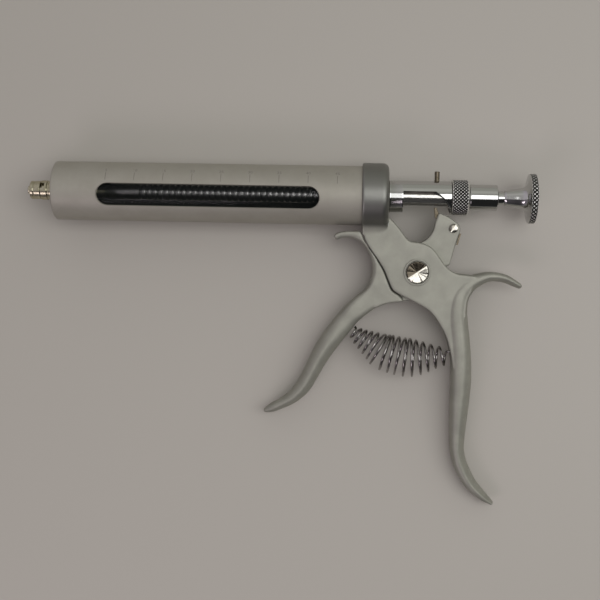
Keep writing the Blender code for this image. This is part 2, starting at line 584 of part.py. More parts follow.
# Return spring: one barrel-shaped helix whose middle line bows away from the barrel
def spring_points():
    """Centre points of the wire in millimetres: coils that widen to the rear, with straight ends."""
    line = np.array(smooth_line(SPRING_LINE, 6))
    lengths = np.concatenate([[0.0], np.cumsum(np.linalg.norm(np.diff(line[:, :2], axis=0), axis=1))])
    count = SPRING_COILS * POINTS_PER_COIL
    share = np.linspace(0.0, 1.0, count + 1)
    places = lengths[-1] * ((1.0 - SPRING_SPREAD) * share + SPRING_SPREAD * share ** 2)
    x, y, radius = (np.interp(places, lengths, line[:, k]) for k in range(3))
    along = np.stack([np.gradient(x), np.gradient(y)], axis=1)
    along /= np.linalg.norm(along, axis=1)[:, None]
    turn = 2 * math.pi * SPRING_COILS * share
    reach = radius - SPRING_WIRE / 2
    points = np.stack([x - along[:, 1] * np.cos(turn) * reach, y + along[:, 0] * np.cos(turn) * reach,
                       np.sin(turn) * reach], axis=1)
    start = points[0] - np.array([*along[0], 0.0]) * SPRING_WIRE
    end = points[-1] + np.array([*along[-1], 0.0]) * SPRING_WIRE
    return np.vstack([start, points, end])


def least_gap(points, wire, skip):
    """Least distance between wire surfaces that are at least so many points apart, in millimetres."""
    fine = np.vstack([a + (b - a) * t for a, b in zip(points, points[1:]) for t in (0.0, 0.25, 0.5, 0.75)])
    least = math.inf
    for i in range(len(fine) - 4 * skip):
        rest = fine[i + 4 * skip:]
        least = min(least, float(np.min(np.linalg.norm(rest - fine[i], axis=1))))
    return least - wire


def make_return_spring(root):
    points = spring_points()
    print("return_spring least gap to itself, mm:", round(least_gap(points, SPRING_WIRE, 5), 2))
    curve = bpy.data.curves.new("return_spring", "CURVE")
    curve.dimensions = "3D"
    curve.bevel_depth = SPRING_WIRE / 2 * MM
    curve.bevel_resolution = 1
    curve.use_fill_caps = True
    spline = curve.splines.new("POLY")
    spline.points.add(len(points) - 1)
    for spot, (x, y, z) in zip(spline.points, points):
        spot.co = (x * MM, y * MM, z * MM, 1.0)
    guide = bpy.data.objects.new("return_spring_curve", curve)
    CUTTERS.objects.link(guide)
    bpy.context.view_layer.update()
    mesh = curve_to_mesh(guide)
    mesh.name = "return_spring"
    mesh.materials.clear()
    smooth_shade(mesh)
    add_object("return_spring", mesh, STEEL, root)


def stand_on_floor(root):
    """Move the root so that the syringe rests on z = 0, centred over the origin."""
    bpy.context.view_layer.update()
    depsgraph = bpy.context.evaluated_depsgraph_get()
    corners = []
    for obj in SYRINGE.objects:
        if obj.type != "MESH":
            continue
        evaluated = obj.evaluated_get(depsgraph)
        mesh = evaluated.to_mesh()
        spots = np.array([evaluated.matrix_world @ v.co for v in mesh.vertices])
        corners += [spots.min(axis=0), spots.max(axis=0)]
        evaluated.to_mesh_clear()
    low = np.min(corners, axis=0)
    high = np.max(corners, axis=0)
    root.location = (-(low[0] + high[0]) / 2, -(low[1] + high[1]) / 2, -low[2])
    bpy.context.view_layer.update()


def make_syringe():
    root = empty("syringe_root")
    root.rotation_euler = (math.radians(ROLL_DEG), 0.0, 0.0)
    plunger = empty("plunger_slide", root)
    rod = empty("rod_turn", plunger)
    dose = empty("dose_turn", root)
    trigger = empty("trigger_pivot", root, (*PIVOT, 0.0))
    pawl = empty("pawl_pivot", trigger, (*relative(PAWL_PIVOT, PIVOT), 0.0))
    make_barrel(root)
    make_nozzle(root)
    make_piston(plunger)
    make_rod(rod)
    make_guide(root)
    make_dose_adjuster(dose)
    make_frame(root)
    make_trigger(trigger)
    make_pawl(pawl)
    make_return_spring(root)
    stand_on_floor(root)


make_syringe()
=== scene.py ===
"""The looks of a repeating veterinary syringe of 50 ml that lies on a pale table.

Shapes are drawn in the syringe's own frame, in millimetres: X runs along the barrel from the muzzle
(-X) to the thumb knob (+X), with 0 at the front edge of the collar, the handles point to -Y, and Z is
square to the flat of the frame. TO_ROW carries a shape from there to the row frame.
"""
import math

import bmesh
import bpy
import numpy as np
from mathutils import Matrix, Vector


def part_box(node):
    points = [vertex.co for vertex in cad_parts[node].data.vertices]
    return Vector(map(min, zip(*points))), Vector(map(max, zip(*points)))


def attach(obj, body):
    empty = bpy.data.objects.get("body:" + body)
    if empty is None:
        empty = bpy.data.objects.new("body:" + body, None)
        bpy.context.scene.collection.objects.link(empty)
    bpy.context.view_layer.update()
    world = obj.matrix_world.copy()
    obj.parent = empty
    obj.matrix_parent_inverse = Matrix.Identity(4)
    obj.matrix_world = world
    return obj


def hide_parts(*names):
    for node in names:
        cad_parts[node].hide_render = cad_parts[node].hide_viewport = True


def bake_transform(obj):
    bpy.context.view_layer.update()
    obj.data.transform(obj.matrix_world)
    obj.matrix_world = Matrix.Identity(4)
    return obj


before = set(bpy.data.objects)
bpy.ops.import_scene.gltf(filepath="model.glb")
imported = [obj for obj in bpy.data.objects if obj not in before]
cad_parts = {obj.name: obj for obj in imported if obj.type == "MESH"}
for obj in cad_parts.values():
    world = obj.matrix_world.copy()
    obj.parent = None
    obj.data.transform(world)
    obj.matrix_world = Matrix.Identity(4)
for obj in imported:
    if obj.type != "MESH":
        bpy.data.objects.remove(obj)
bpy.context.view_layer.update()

MM = 0.001
ROLL_DEG = 4.2
CASING_FRONT = -146.0
casing_low, casing_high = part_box("barrel_casing")
AXIS = Vector((casing_low.x - CASING_FRONT * MM, (casing_low.y + casing_high.y) / 2,
               (casing_low.z + casing_high.z) / 2))
TO_ROW = Matrix.Translation(AXIS) @ Matrix.Rotation(math.radians(ROLL_DEG), 4, "X") @ Matrix.Scale(MM, 4)
FROM_ROW = TO_ROW.inverted()

# Photograph: 600 by 600 pixels, with the front edge of the collar on the barrel's axis at COLLAR_PX
FOCAL_PX = 1008.0
PICTURE_PX = 600.0
SENSOR_MM = 36.0
CAMERA_HEIGHT = 0.480
CAMERA_TILT_DEG = 3.0
CAMERA_TURN_DEG = 1.34
COLLAR_PX = (362.0, 195.8)

# Barrel, in millimetres
CASING_TIP = -146.6
CASING_RADIUS = 14.0
CASING_BORE = 12.85
CASING_END = 10.0
FRONT_WALL = 2.0
FRONT_HOLE = 3.7
WINDOW_FROM = -124.6
WINDOW_TO = -19.9
WINDOW_WIDTH = 10.3
WINDOW_CLOCK_DEG = 7.5
GLASS_RADIUS = 12.5
GLASS_BORE = 10.75
GLASS_FROM = -138.9
GLASS_TO = 9.2
MILLILITRE = 2.755
ROD_RADIUS = 3.6
RING_RADIUS = 3.65
RING_ROOT = 2.95
RING_COUNT = 51
RINGS_FROM = -106.0
KNOB_NECK = 63.9
KNOB_NECK_RADIUS = 3.3
KNOB_RADIUS = 11.7
KNOB_RIM_FROM = 78.25
KNOB_END = 81.2
KNOB_TEETH = 38
KNOB_RELIEF = 0.4
STUD_RADIUS = 2.3
STUD_END = 73.5
# Rings that cut the window's chamfer, each (how far the outline grows, how far below the surface)
WINDOW_CHAMFER = [(-0.15, 0.7), (0.3, 0.0), (1.2, -1.2)]
# Profile of one ring of the rod, each (share of the pitch, radius)
RING_SHAPE = [(0.0, RING_ROOT), (0.14, RING_ROOT), (0.34, RING_RADIUS - 0.06), (0.44, RING_RADIUS),
              (0.84, RING_RADIUS), (0.92, RING_RADIUS - 0.06)]

# Rear end
SLEEVE_RADIUS = 4.4
SLEEVE_BORE = 3.95
GUIDE_RADIUS = 7.6
GUIDE_BORE = 4.75
GUIDE_END = 41.9
NOTCH_FROM = 19.2
NOTCH_TO = 41.6
NOTCH_EDGE = 2.4
NOTCH_LOW = -9.0
NOTCH_LEDGE = 0.55
PIN_X = 35.2
PIN_RADIUS = 1.15
PIN_TOP = 12.0
DOSES = 5
DOSE_STEP_DEG = 40.0
DOSE_SLOT_FROM = 20.5
DOSE_RING_RADIUS = 8.35
DOSE_RING_FRONT = 42.2
DOSE_RING_END = 50.2
RING_TEETH = 32
RING_RELIEF = 0.42
REAR_TUBE_RADIUS = 6.2
REAR_TUBE_END = 63.5

# Castings
COLLAR_RADIUS = 15.5
COLLAR_LENGTH = 12.5
PLATE_HALF = 5.6
SLOT_HALF = 3.0
CHEEK_EDGE = 0.7
FILLER_HALF = 4.1
WEB_HALF = 2.6
TRIGGER_HALF = 5.4
FINGER_EDGE_ROUND = 1.6
FINGER_REST_Y = -33.5
FINGER_REST_REACH = 6.5
FINGER_REST_SHARE = 1.3
BACK_EDGE_SHARE = 0.16
FORK_HALF = 1.3
PAWL_HALF = 1.0
PIVOT = (26.8, -35.6)
PAWL_PIVOT = (43.4, -14.6)
HUB_REACH = 13.4
PIVOT_SCREW_RADIUS = 2.9
PIVOT_HEAD_RADIUS = 5.15
PIVOT_BUSH_RADIUS = 4.2
PAWL_SCREW_RADIUS = 1.2
PIVOT_SLOT_DEG = 33.0
PAWL_SLOT_DEG = 55.0
# Rays on the pivot screw's face, each (how many, where they start, share)
STREAKS = [(7.0, 1.0, 1.0), (12.0, 0.0, 0.7), (19.0, 2.0, 0.5)]
DISH_DEG = 6.0
DISH_STEPS = 12
GAP = 0.3
VOXEL = 0.34
# Half the length of a cutter that goes through a casting
THROUGH = 9.0
# Radius of the fillet between the collar and the plate at places along the collar
FILLETS = [(0.5, 6.5), (6.0, 6.5), (8.5, 5.8), (10.5, 4.4), (12.0, 2.6)]
HANDLE_STEPS = 5
HANDLE_SIDES = 36
REAR_HANDLE_SLOPE = 1.3
# Round end of a handle, each (how far out in half widths, share of the full section)
HANDLE_END = [(0.75, 0.3), (0.55, 0.62), (0.3, 0.86)]

# Spring
SPRING_WIRE = 1.1
SPRING_COILS = 15
SPRING_SPREAD = 0.2
POINTS_PER_COIL = 28

# Scale on the casing, with plain numbers in millilitres
FIRST_TICK = -120.5
TICK_PITCH = 13.61
TICKS = 9
TICK_WIDTH = 0.3
TICK_LOW = 5.0
TICK_HIGH = 8.6
NUMBER_SIZE = 2.3
MARK_LIFT = 0.012

# Outlines in the plane of the handles, each (x, y)
PLATE_LEFT = [
    (0.3, -15.2), (1.9, -20.8), (4.8, -25.5), (8.2, -30.1), (11.2, -34.8), (13.7, -40.4), (15.6, -44.1),
    (19.0, -46.4), (23.8, -48.7), (30.9, -52.3), (34.8, -55.5), (38.2, -60.2), (41.2, -65.8), (43.4, -73.0),
    (44.9, -81.0)
]
PLATE_RIGHT = [
    (55.0, -36.9), (49.6, -36.3), (45.9, -35.9), (42.1, -34.1), (39.2, -31.3), (37.2, -28.5), (34.3, -24.8),
    (31.5, -22.8), (28.1, -21.7), (23.0, -20.9), (20.6, -18.6), (18.1, -15.3), (15.7, -12.6), (12.9, -9.8)
]
FINGER_EDGE = [
    (-12.2, -20.8), (-11.2, -21.0), (-9.0, -20.1), (-5.2, -19.9), (-1.4, -21.0), (1.5, -23.3), (4.0, -27.1),
    (5.5, -31.4), (5.9, -35.2), (5.2, -39.5), (3.4, -43.4), (0.2, -46.6)
]
TRIGGER_BACK_EDGE = [
    (7.5, -53.1), (12.2, -51.1), (16.5, -50.2), (20.4, -49.6), (18.7, -46.9), (15.15, -44.5), (13.25, -40.7),
    (10.75, -34.85), (7.8, -30.2), (4.4, -25.65), (1.5, -21.0), (-0.3, -17.0), (-4.0, -16.7), (-9.0, -17.1),
    (-12.0, -18.2), (-12.9, -19.6)
]
ARM_LEFT = [
    (28.5, -21.4), (30.4, -20.4), (32.2, -18.7), (34.0, -15.6), (34.9, -11.7), (36.2, -7.7)
]
ARM_RIGHT = [
    (37.1, -7.5), (40.4, -8.9), (43.3, -10.6), (45.7, -12.7), (46.7, -15.2), (45.5, -19.1), (44.6, -22.4),
    (43.4, -27.2), (42.1, -32.0)
]
PAWL_OUTLINE = [
    (34.2, -5.0), (35.3, -5.0), (36.4, -7.9), (38.4, -9.6), (44.3, -12.2), (45.8, -15.6), (42.4, -17.0),
    (37.6, -13.4), (34.6, -9.4)
]

# Stations of the handles, each (x, y, half width, half thickness, fullness of the section)
REAR_HANDLE = [
    (75.6, -41.4, 1.3, 2.6, 2.4), (72.2, -39.6, 1.75, 3.4, 2.6), (68.7, -38.0, 2.0, 3.9, 2.8),
    (64.6, -37.2, 2.15, 4.4, 3.0), (60.3, -37.3, 2.4, 5.0, 3.2), (55.9, -38.8, 2.95, 5.5, 3.4),
    (52.3, -40.8, 3.5, 5.8, 3.6), (49.3, -44.0, 4.0, 6.0, 3.6), (47.4, -48.2, 4.3, 6.2, 3.6),
    (46.7, -54.0, 4.6, 6.3, 3.5), (47.2, -60.6, 4.8, 6.4, 3.4), (48.2, -67.7, 4.75, 6.5, 3.3),
    (49.0, -77.0, 4.9, 6.5, 3.2), (49.3, -87.0, 5.0, 6.5, 3.0), (49.0, -97.0, 4.65, 6.3, 2.9),
    (48.6, -106.0, 4.2, 5.9, 2.8), (48.3, -116.3, 3.6, 5.5, 2.7), (48.8, -122.5, 3.35, 5.2, 2.6),
    (50.8, -129.0, 3.3, 4.8, 2.6), (55.3, -136.9, 3.0, 4.3, 2.5), (61.0, -142.6, 2.3, 3.6, 2.4),
    (65.7, -146.2, 1.1, 2.4, 2.2)
]
FRONT_HANDLE = [
    (9.5, -45.6, 4.6, 4.9, 5.0), (6.0, -48.2, 4.9, 5.35, 6.0), (1.2, -51.8, 4.9, 5.5, 5.0),
    (-3.9, -56.5, 4.8, 5.7, 3.4), (-7.9, -61.5, 4.9, 5.8, 2.6), (-12.8, -68.0, 4.85, 5.85, 2.2),
    (-16.5, -73.7, 4.6, 5.8, 1.8), (-19.9, -79.8, 4.2, 5.6, 1.8), (-22.9, -86.0, 3.9, 5.4, 1.8),
    (-26.4, -92.2, 3.7, 5.1, 1.8), (-31.0, -97.2, 3.1, 4.6, 1.8), (-36.2, -100.4, 2.6, 4.0, 1.9),
    (-41.0, -102.8, 2.2, 3.3, 2.0), (-44.3, -104.2, 1.2, 2.2, 2.0)
]

# The return spring's middle line and the outer radius of its coils, each (x, y, radius)
SPRING_LINE = [
    (-2.9, -64.7, 2.8), (-0.6, -66.6, 4.1), (2.0, -68.4, 5.2), (5.3, -70.4, 6.5), (8.4, -72.2, 7.9),
    (11.0, -73.8, 8.9), (14.0, -74.9, 9.3), (20.8, -76.4, 9.5), (24.7, -76.8, 9.5), (28.3, -76.8, 8.7),
    (32.4, -76.5, 7.5), (36.4, -76.2, 5.9), (40.0, -76.0, 4.9), (42.7, -75.8, 2.8)
]

# Table and lights. Each light has its place, aim, size, power in watts and colour
FLOOR_COLOUR = (0.46, 0.43, 0.39)
FLOOR_ROUGHNESS = 0.55
FLOOR_REACH = 3.0
SOFTBOX = ((0.62, 0.075, 1.0), (0.62, 0.075, 0.0), (1.3, 0.56), 5.1)
SIDE_LAMP = ((-0.38, -0.57, 0.615), (-0.115, 0.07, 0.015), (0.55, 0.28), 1.2, (1.0, 0.87, 0.97))

# Brightness that metal mirrors at angles in degrees round the barrel, from 0 straight up to 90 behind it
ROOM = [
    (-180.0, (0.30, 0.29, 0.27)), (-92.0, (0.14, 0.14, 0.13)), (-80.0, (0.02, 0.02, 0.02)),
    (-20.0, (0.02, 0.02, 0.02)), (-15.0, (0.36, 0.36, 0.34)), (26.0, (0.38, 0.38, 0.35)),
    (38.0, (0.50, 0.50, 0.46)), (52.0, (0.50, 0.50, 0.46)), (60.0, (0.38, 0.38, 0.34)),
    (92.0, (0.36, 0.36, 0.32)), (180.0, (0.30, 0.29, 0.27))
]
ROOM_LEFT = [
    (-180.0, (0.30, 0.28, 0.29)), (-92.0, (0.24, 0.22, 0.24)), (-80.0, (0.20, 0.18, 0.20)),
    (-20.0, (0.20, 0.18, 0.20)), (-15.0, (0.50, 0.47, 0.50)), (52.0, (0.50, 0.47, 0.50)),
    (92.0, (0.40, 0.37, 0.40)), (180.0, (0.30, 0.28, 0.29))
]

# Even light from the world, from dark to light along a direction between two limits
EVEN_DARK = (0.14, 0.14, 0.14)
EVEN_LIGHT = (0.62, 0.62, 0.60)
LIGHT_SIDE = (0.5, 0.6, 0.0)
LIGHT_LIMITS = (-0.6, 0.6)
# Where the mirrored room turns from the left one to the right one, along X
LEFT_LIMITS = (-0.42, -0.06)


# Node trees, of finishes and of the world
class Nodes:
    """A node tree that grows one node at a time."""

    def __init__(self, tree):
        self.tree = tree

    def add(self, kind, inputs, **settings):
        """Add a node. Each input is a constant or the output that drives it."""
        node = self.tree.nodes.new("ShaderNode" + kind)
        for key, value in settings.items():
            setattr(node, key, value)
        for socket, value in inputs.items():
            if isinstance(value, bpy.types.NodeSocket):
                self.tree.links.new(value, node.inputs[socket])
            else:
                node.inputs[socket].default_value = value
        return node

    def span(self, value, low, high, from_low=0.3, from_high=0.7):
        """Map a value from one range to another."""
        inputs = {"Value": value, "From Min": from_low, "From Max": from_high, "To Min": low, "To Max": high}
        return self.add("MapRange", inputs).outputs["Result"]

    def mix(self, factor, first, second):
        """Mix two colours, each a tuple or an output."""
        first, second = ((*shade, 1.0) if isinstance(shade, tuple) else shade for shade in (first, second))
        return self.add("Mix", {0: factor, 6: first, 7: second}, data_type="RGBA").outputs[2]

    def ramp(self, turn, stops):
        """Colours over a turn from 0 to 1, from stops at degrees from -180 to 180."""
        ramp = self.add("ValToRGB", {"Fac": turn})
        elements = ramp.color_ramp.elements
        elements[0].color = (*stops[0][1], 1.0)
        elements[1].color = (*stops[-1][1], 1.0)
        for degrees, colour in stops[1:-1]:
            elements.new((degrees + 180.0) / 360.0).color = (*colour, 1.0)
        return ramp.outputs["Color"]


# Finishes
class Finish(Nodes):
    """A material whose texture places are in the row frame, at rest.

    A noise is given as its size in millimetres, its detail and, where it is drawn out, its stretch.
    """

    def __init__(self, name, colour, metallic, roughness):
        self.material = bpy.data.materials.new(name)
        self.material.use_nodes = True
        super().__init__(self.material.node_tree)
        self.shader = self.tree.nodes["Principled BSDF"]
        self.set("Base Color", (*colour, 1.0))
        self.set("Metallic", metallic)
        self.set("Roughness", roughness)
        self.place = self.add("TexCoord", {}).outputs["Object"]
        self.height = None

    def set(self, socket, value):
        self.shader.inputs[socket].default_value = value

    def drive(self, socket, output):
        self.tree.links.new(output, self.shader.inputs[socket])

    def noise(self, size_mm, detail, stretch=(1.0, 1.0, 1.0)):
        """Noise with features of about this size, drawn out along the axes with a small stretch."""
        scale = [s / (size_mm * MM) for s in stretch]
        place = self.add("Mapping", {"Vector": self.place, "Scale": scale}).outputs["Vector"]
        return self.add("TexNoise", {"Vector": place, "Scale": 1.0, "Detail": detail}).outputs["Fac"]

    def clouds(self, dark, light, *noise):
        """Soft clouds of a light colour in a dark one."""
        return self.mix(self.span(self.noise(*noise), 0.0, 1.0), dark, light)

    def attribute(self, name):
        return self.add("Attribute", {}, attribute_name=name).outputs["Fac"]

    def pointiness(self):
        return self.add("NewGeometry", {}).outputs["Pointiness"]

    def colour(self, output):
        self.drive("Base Color", output)

    def roughness(self, low, high, *noise):
        """A roughness that wanders between two values."""
        self.drive("Roughness", self.span(self.noise(*noise), low, high))

    def bump(self, depth_mm, strength, *noise):
        inputs = {"Distance": depth_mm * MM, "Strength": strength, "Height": self.noise(*noise)}
        if self.height is not None:
            inputs["Normal"] = self.height
        self.height = self.add("Bump", inputs).outputs["Normal"]
        self.drive("Normal", self.height)


def plain(name, base, clouds=None, roughness=None, *bumps):
    """A finish of a base (colour, metallic, roughness) with clouds, a wandering roughness and bumps.

    Clouds are (dark, light, noise), a roughness (low, high, noise) and a bump (depth in
    millimetres, strength, noise).
    """
    finish = Finish(name, *base)
    if clouds:
        finish.colour(finish.clouds(*clouds))
    if roughness:
        finish.roughness(*roughness)
    for bump in bumps:
        finish.bump(*bump)
    return finish.material


def cast_alloy():
    """Tumbled casting: fine grain, brighter rubbed edges, painted shade in the hollows, and a turned finish
    on the collar.
    """
    finish = Finish("cast_alloy", (0.42, 0.41, 0.38), 0.55, 0.5)
    body = finish.clouds((0.30, 0.295, 0.255), (0.36, 0.355, 0.305), 7.0, 4.0)
    edges = finish.span(finish.pointiness(), 0.0, 1.0, 0.52, 0.62)
    rubbed = finish.mix(edges, body, (0.37, 0.365, 0.32))
    # Painted shade: hollows and creases are darkened, by their pointiness.
    hollows = finish.span(finish.pointiness(), 1.0, 0.0, 0.44, 0.495)
    hollow_shade = finish.mix(hollows, rubbed, (0.15, 0.145, 0.13))
    turned = finish.attribute("turned")
    finish.colour(finish.mix(turned, hollow_shade, (0.24, 0.24, 0.222)))
    finish.drive("Metallic", finish.span(turned, 0.55, 0.95, 0.0, 1.0))
    finish.drive("Roughness", finish.span(turned, 0.52, 0.43, 0.0, 1.0))
    finish.bump(0.035, 0.5, 0.55, 3.0)
    finish.bump(0.015, 0.5, 0.22, 2.0)
    return finish.material


def knurled_chrome():
    """Chrome on a knurl, with painted shade in its grooves and lighter crests, by the attribute groove."""
    finish = Finish("knurled_chrome", (0.60, 0.60, 0.58), 1.0, 0.2)
    # Painted shade: the grooves go near-black and the crests lighter than plain chrome, by the depth that
    # groove keeps.
    groove_shade = finish.span(finish.attribute("groove"), 0.0, 1.0, 0.1, 0.5)
    finish.colour(finish.mix(groove_shade, (0.80, 0.80, 0.77), (0.02, 0.02, 0.018)))
    finish.roughness(0.26, 0.38, 0.8, 4.0)
    return finish.material


def bright_screw():
    """Bright nickel, with painted shade on the half of the face that the attribute marks."""
    finish = Finish("bright_screw", (0.66, 0.63, 0.58), 1.0, 0.16)
    bright = finish.clouds((0.40, 0.38, 0.33), (0.58, 0.56, 0.51), 1.2, 4.0)
    # Painted shade: the marked half of the face is darkened.
    finish.colour(finish.mix(finish.attribute("shaded_half"), bright, (0.085, 0.072, 0.055)))
    finish.roughness(0.12, 0.22, 0.5, 4.0)
    return finish.material


def barrel_glass():
    """Clear glass. It is see-through by its alpha, so that light falls on what is behind it."""
    finish = Finish("barrel_glass", (0.03, 0.035, 0.033), 0.0, 0.03)
    finish.set("Alpha", 0.10)
    finish.roughness(0.02, 0.06, 12.0, 3.0)
    return finish.material


ALUMINIUM = plain("satin_aluminium", ((0.40, 0.39, 0.36), 0.6, 0.6),
                  ((0.385, 0.365, 0.315), (0.415, 0.395, 0.345), 9.0, 4.0), (0.54, 0.62, 3.0, 5.0),
                  (0.012, 0.5, 0.16, 2.0), (0.01, 0.25, 0.5, 3.0, (0.06, 1.0, 1.0)))
CAST = cast_alloy()
CHROME = plain("chrome_plate", ((0.57, 0.57, 0.56), 1.0, 0.08), None, (0.05, 0.10, 2.0, 5.0),
               (0.003, 0.4, 0.35, 3.0, (0.05, 1.0, 1.0)))
KNURLED = knurled_chrome()
NICKEL = plain("nickel_plate", ((0.58, 0.55, 0.48), 1.0, 0.22),
               ((0.44, 0.41, 0.28), (0.56, 0.53, 0.40), 1.5, 4.0), (0.14, 0.28, 0.7, 4.0),
               (0.004, 0.4, 0.3, 3.0))
DULL_NICKEL = plain("dull_nickel", ((0.56, 0.55, 0.52), 0.9, 0.22),
                    ((0.36, 0.35, 0.33), (0.60, 0.59, 0.56), 0.6, 4.0, (0.2, 1.0, 1.0)),
                    (0.10, 0.18, 0.7, 4.0))
SCREW = bright_screw()
STEEL = plain("spring_steel", ((0.48, 0.46, 0.45), 1.0, 0.18),
              ((0.20, 0.19, 0.18), (0.38, 0.36, 0.35), 2.0, 4.0), (0.10, 0.20, 0.6, 4.0))
BROWNED = plain("browned_steel", ((0.14, 0.115, 0.08), 0.9, 0.4),
                ((0.11, 0.09, 0.06), (0.18, 0.155, 0.115), 1.0, 4.0), (0.34, 0.48, 0.6, 4.0))
BLACKENED = plain("blackened_steel", ((0.09, 0.09, 0.09), 1.0, 0.22),
                  ((0.24, 0.24, 0.235), (0.32, 0.32, 0.315), 2.5, 4.0), (0.28, 0.38, 0.8, 4.0))
GLASS = barrel_glass()
# Near-black finish, painted shade for the inside of the casing and for the end wall of the guide's notch
SHADE_BLACK = plain("painted_shade_black", ((0.035, 0.036, 0.033), 0.3, 0.5),
                  ((0.025, 0.026, 0.024), (0.045, 0.046, 0.042), 3.0, 4.0))
RUBBER = plain("black_rubber", ((0.02, 0.02, 0.02), 0.0, 0.55),
               ((0.015, 0.015, 0.015), (0.035, 0.034, 0.033), 1.5, 4.0), None, (0.01, 0.5, 0.3, 3.0))
NYLON = plain("nylon", ((0.70, 0.68, 0.60), 0.0, 0.45),
              ((0.64, 0.62, 0.54), (0.72, 0.70, 0.63), 1.5, 4.0), None, (0.006, 0.5, 0.25, 3.0))
MARKS = plain("scale_marks", ((0.20, 0.19, 0.17), 0.0, 0.6),
              ((0.17, 0.16, 0.14), (0.24, 0.225, 0.20), 0.6, 4.0))


# Outlines and profiles, all in millimetres
def smooth_line(points, steps):
    """Points of a Catmull-Rom curve through the given ones, with any number of columns."""
    rows = np.array(points, float)
    padded = np.vstack([2 * rows[0] - rows[1], rows, 2 * rows[-1] - rows[-2]])
    line = []
    for i in range(1, len(padded) - 2):
        before, a, b, after = padded[i - 1], padded[i], padded[i + 1], padded[i + 2]
        for t in np.linspace(0.0, 1.0, steps, endpoint=False):
            bend = 2 * before - 5 * a + 4 * b - after
            twist = 3 * (a - b) + after - before
            line.append(a + 0.5 * t * (b - before + t * (bend + t * twist)))
    line.append(rows[-1])
    return line


def polar(origin, radius, degrees):
    angle = math.radians(degrees)
    return (origin[0] + radius * math.cos(angle), origin[1] + radius * math.sin(angle))


def arc(origin, radius, from_deg, to_deg, steps):
    return [polar(origin, radius, t) for t in np.linspace(from_deg, to_deg, steps + 1)]


def slot_outline(x_from, x_to, width, steps=16):
    half = width / 2
    front = arc((x_to - half, 0.0), half, -90.0, 90.0, steps)
    return front + arc((x_from + half, 0.0), half, 90.0, 270.0, steps)


def tube(x_from, x_to, inner, outer):
    return [(x_from, inner), (x_from, outer), (x_to, outer), (x_to, inner)]


def softened(profile, radius, closed=True, steps=3):
    """Round the corners of a profile, with a support point on each side of a corner."""
    points = [Vector(p) for p in profile]
    rounded = []
    for i, corner in enumerate(points):
        back = points[i - 1] - corner
        on = points[(i + 1) % len(points)] - corner
        at_end = not closed and i in (0, len(points) - 1)
        if at_end or min(back.length, on.length) < 1e-6 or back.angle(on) > math.radians(160.0):
            rounded.append(corner)
            continue
        reach = min(radius, 0.4 * back.length, 0.4 * on.length)
        start = corner + back.normalized() * reach
        end = corner + on.normalized() * reach
        rounded.append(corner + back.normalized() * reach * 1.2)
        for t in np.linspace(0.0, 1.0, steps + 1):
            rounded.append(start * (1 - t) ** 2 + corner * (2 * t * (1 - t)) + end * t ** 2)
        rounded.append(corner + on.normalized() * reach * 1.2)
    return [tuple(p) for p in rounded]


def inset(points, distance):
    """An outline moved inwards, along the mean of its edges' normals."""
    spots = np.array(points, float)
    ahead = np.roll(spots, -1, axis=0) - spots
    area = float(np.sum(spots[:, 0] * np.roll(spots[:, 1], -1) - spots[:, 1] * np.roll(spots[:, 0], -1)))
    ahead /= np.linalg.norm(ahead, axis=1)[:, None]
    behind = np.roll(ahead, 1, axis=0)
    side = math.copysign(1.0, area)
    normals = side * np.stack([-ahead[:, 1] - behind[:, 1], ahead[:, 0] + behind[:, 0]], axis=1)
    scale = 1.0 + np.sum(ahead * behind, axis=1)
    mitre = normals / np.maximum(scale, 0.6)[:, None]
    return spots + mitre * np.broadcast_to(distance, len(spots))[:, None]


def edge_round(edge):
    """Steps (how far below the face, how far drawn in) of a rounded rim, from the flank to the face."""
    return [(edge * (1 - math.sin(t)), edge * (1 - math.cos(t))) for t in np.linspace(0.0, math.pi / 2, 5)]


def rounded_levels(half, edge):
    """Levels of a flat solid about z = 0 whose rims are both rounded."""
    top = [(half - rise, drawn) for rise, drawn in edge_round(edge)]
    return [(-height, drawn) for height, drawn in reversed(top)] + top


def cheek_levels(side):
    """Levels of one cheek of the plate, rounded at its outer face only."""
    outer = [(side * (PLATE_HALF - rise), drawn) for rise, drawn in edge_round(CHEEK_EDGE)]
    return [(side * SLOT_HALF, 0.0)] + outer


# Meshes, all in millimetres
def lathe(profile, sides, closed=True, relief=None):
    """A mesh turned about X from (place, radius) pairs. Open profiles start and end on the axis.

    relief gives how far a place and angle is cut below the profile, and the attribute groove keeps
    its share of the deepest cut.
    """
    verts = []
    rows = []
    cuts = []
    for place, radius in profile:
        if radius < 1e-6:
            rows.append([len(verts)] * sides)
            verts.append((place, 0.0, 0.0))
            cuts.append(0.0)
            continue
        rows.append(list(range(len(verts), len(verts) + sides)))
        for k in range(sides):
            turn = 2 * math.pi * k / sides
            cuts.append(relief(place, radius, turn) if relief else 0.0)
            reach = radius - cuts[-1]
            verts.append((place, reach * math.cos(turn), reach * math.sin(turn)))
    pairs = list(zip(rows, rows[1:]))
    if closed:
        pairs.append((rows[-1], rows[0]))
    faces = []
    for near, far in pairs:
        for k in range(sides):
            n = (k + 1) % sides
            corners = list(dict.fromkeys((near[k], near[n], far[n], far[k])))
            if len(corners) > 2:
                faces.append(corners)
    mesh = bpy.data.meshes.new("lathe")
    mesh.from_pydata(verts, [], faces)
    if relief:
        mark(mesh, "groove", np.array(cuts, np.float32) / max(cuts))
    return mesh


def mark(mesh, name, values):
    """Keep one value for each point in an attribute that a finish reads."""
    attribute = mesh.attributes.new(name, "FLOAT", "POINT")
    attribute.data.foreach_set("value", np.asarray(values, np.float32))


def turn_about(axis, degrees, origin=(0.0, 0.0)):
    """A turn about an axis, and then a shift to a point of the plane."""
    return Matrix.Translation((*origin, 0.0)) @ Matrix.Rotation(math.radians(degrees), 4, axis)


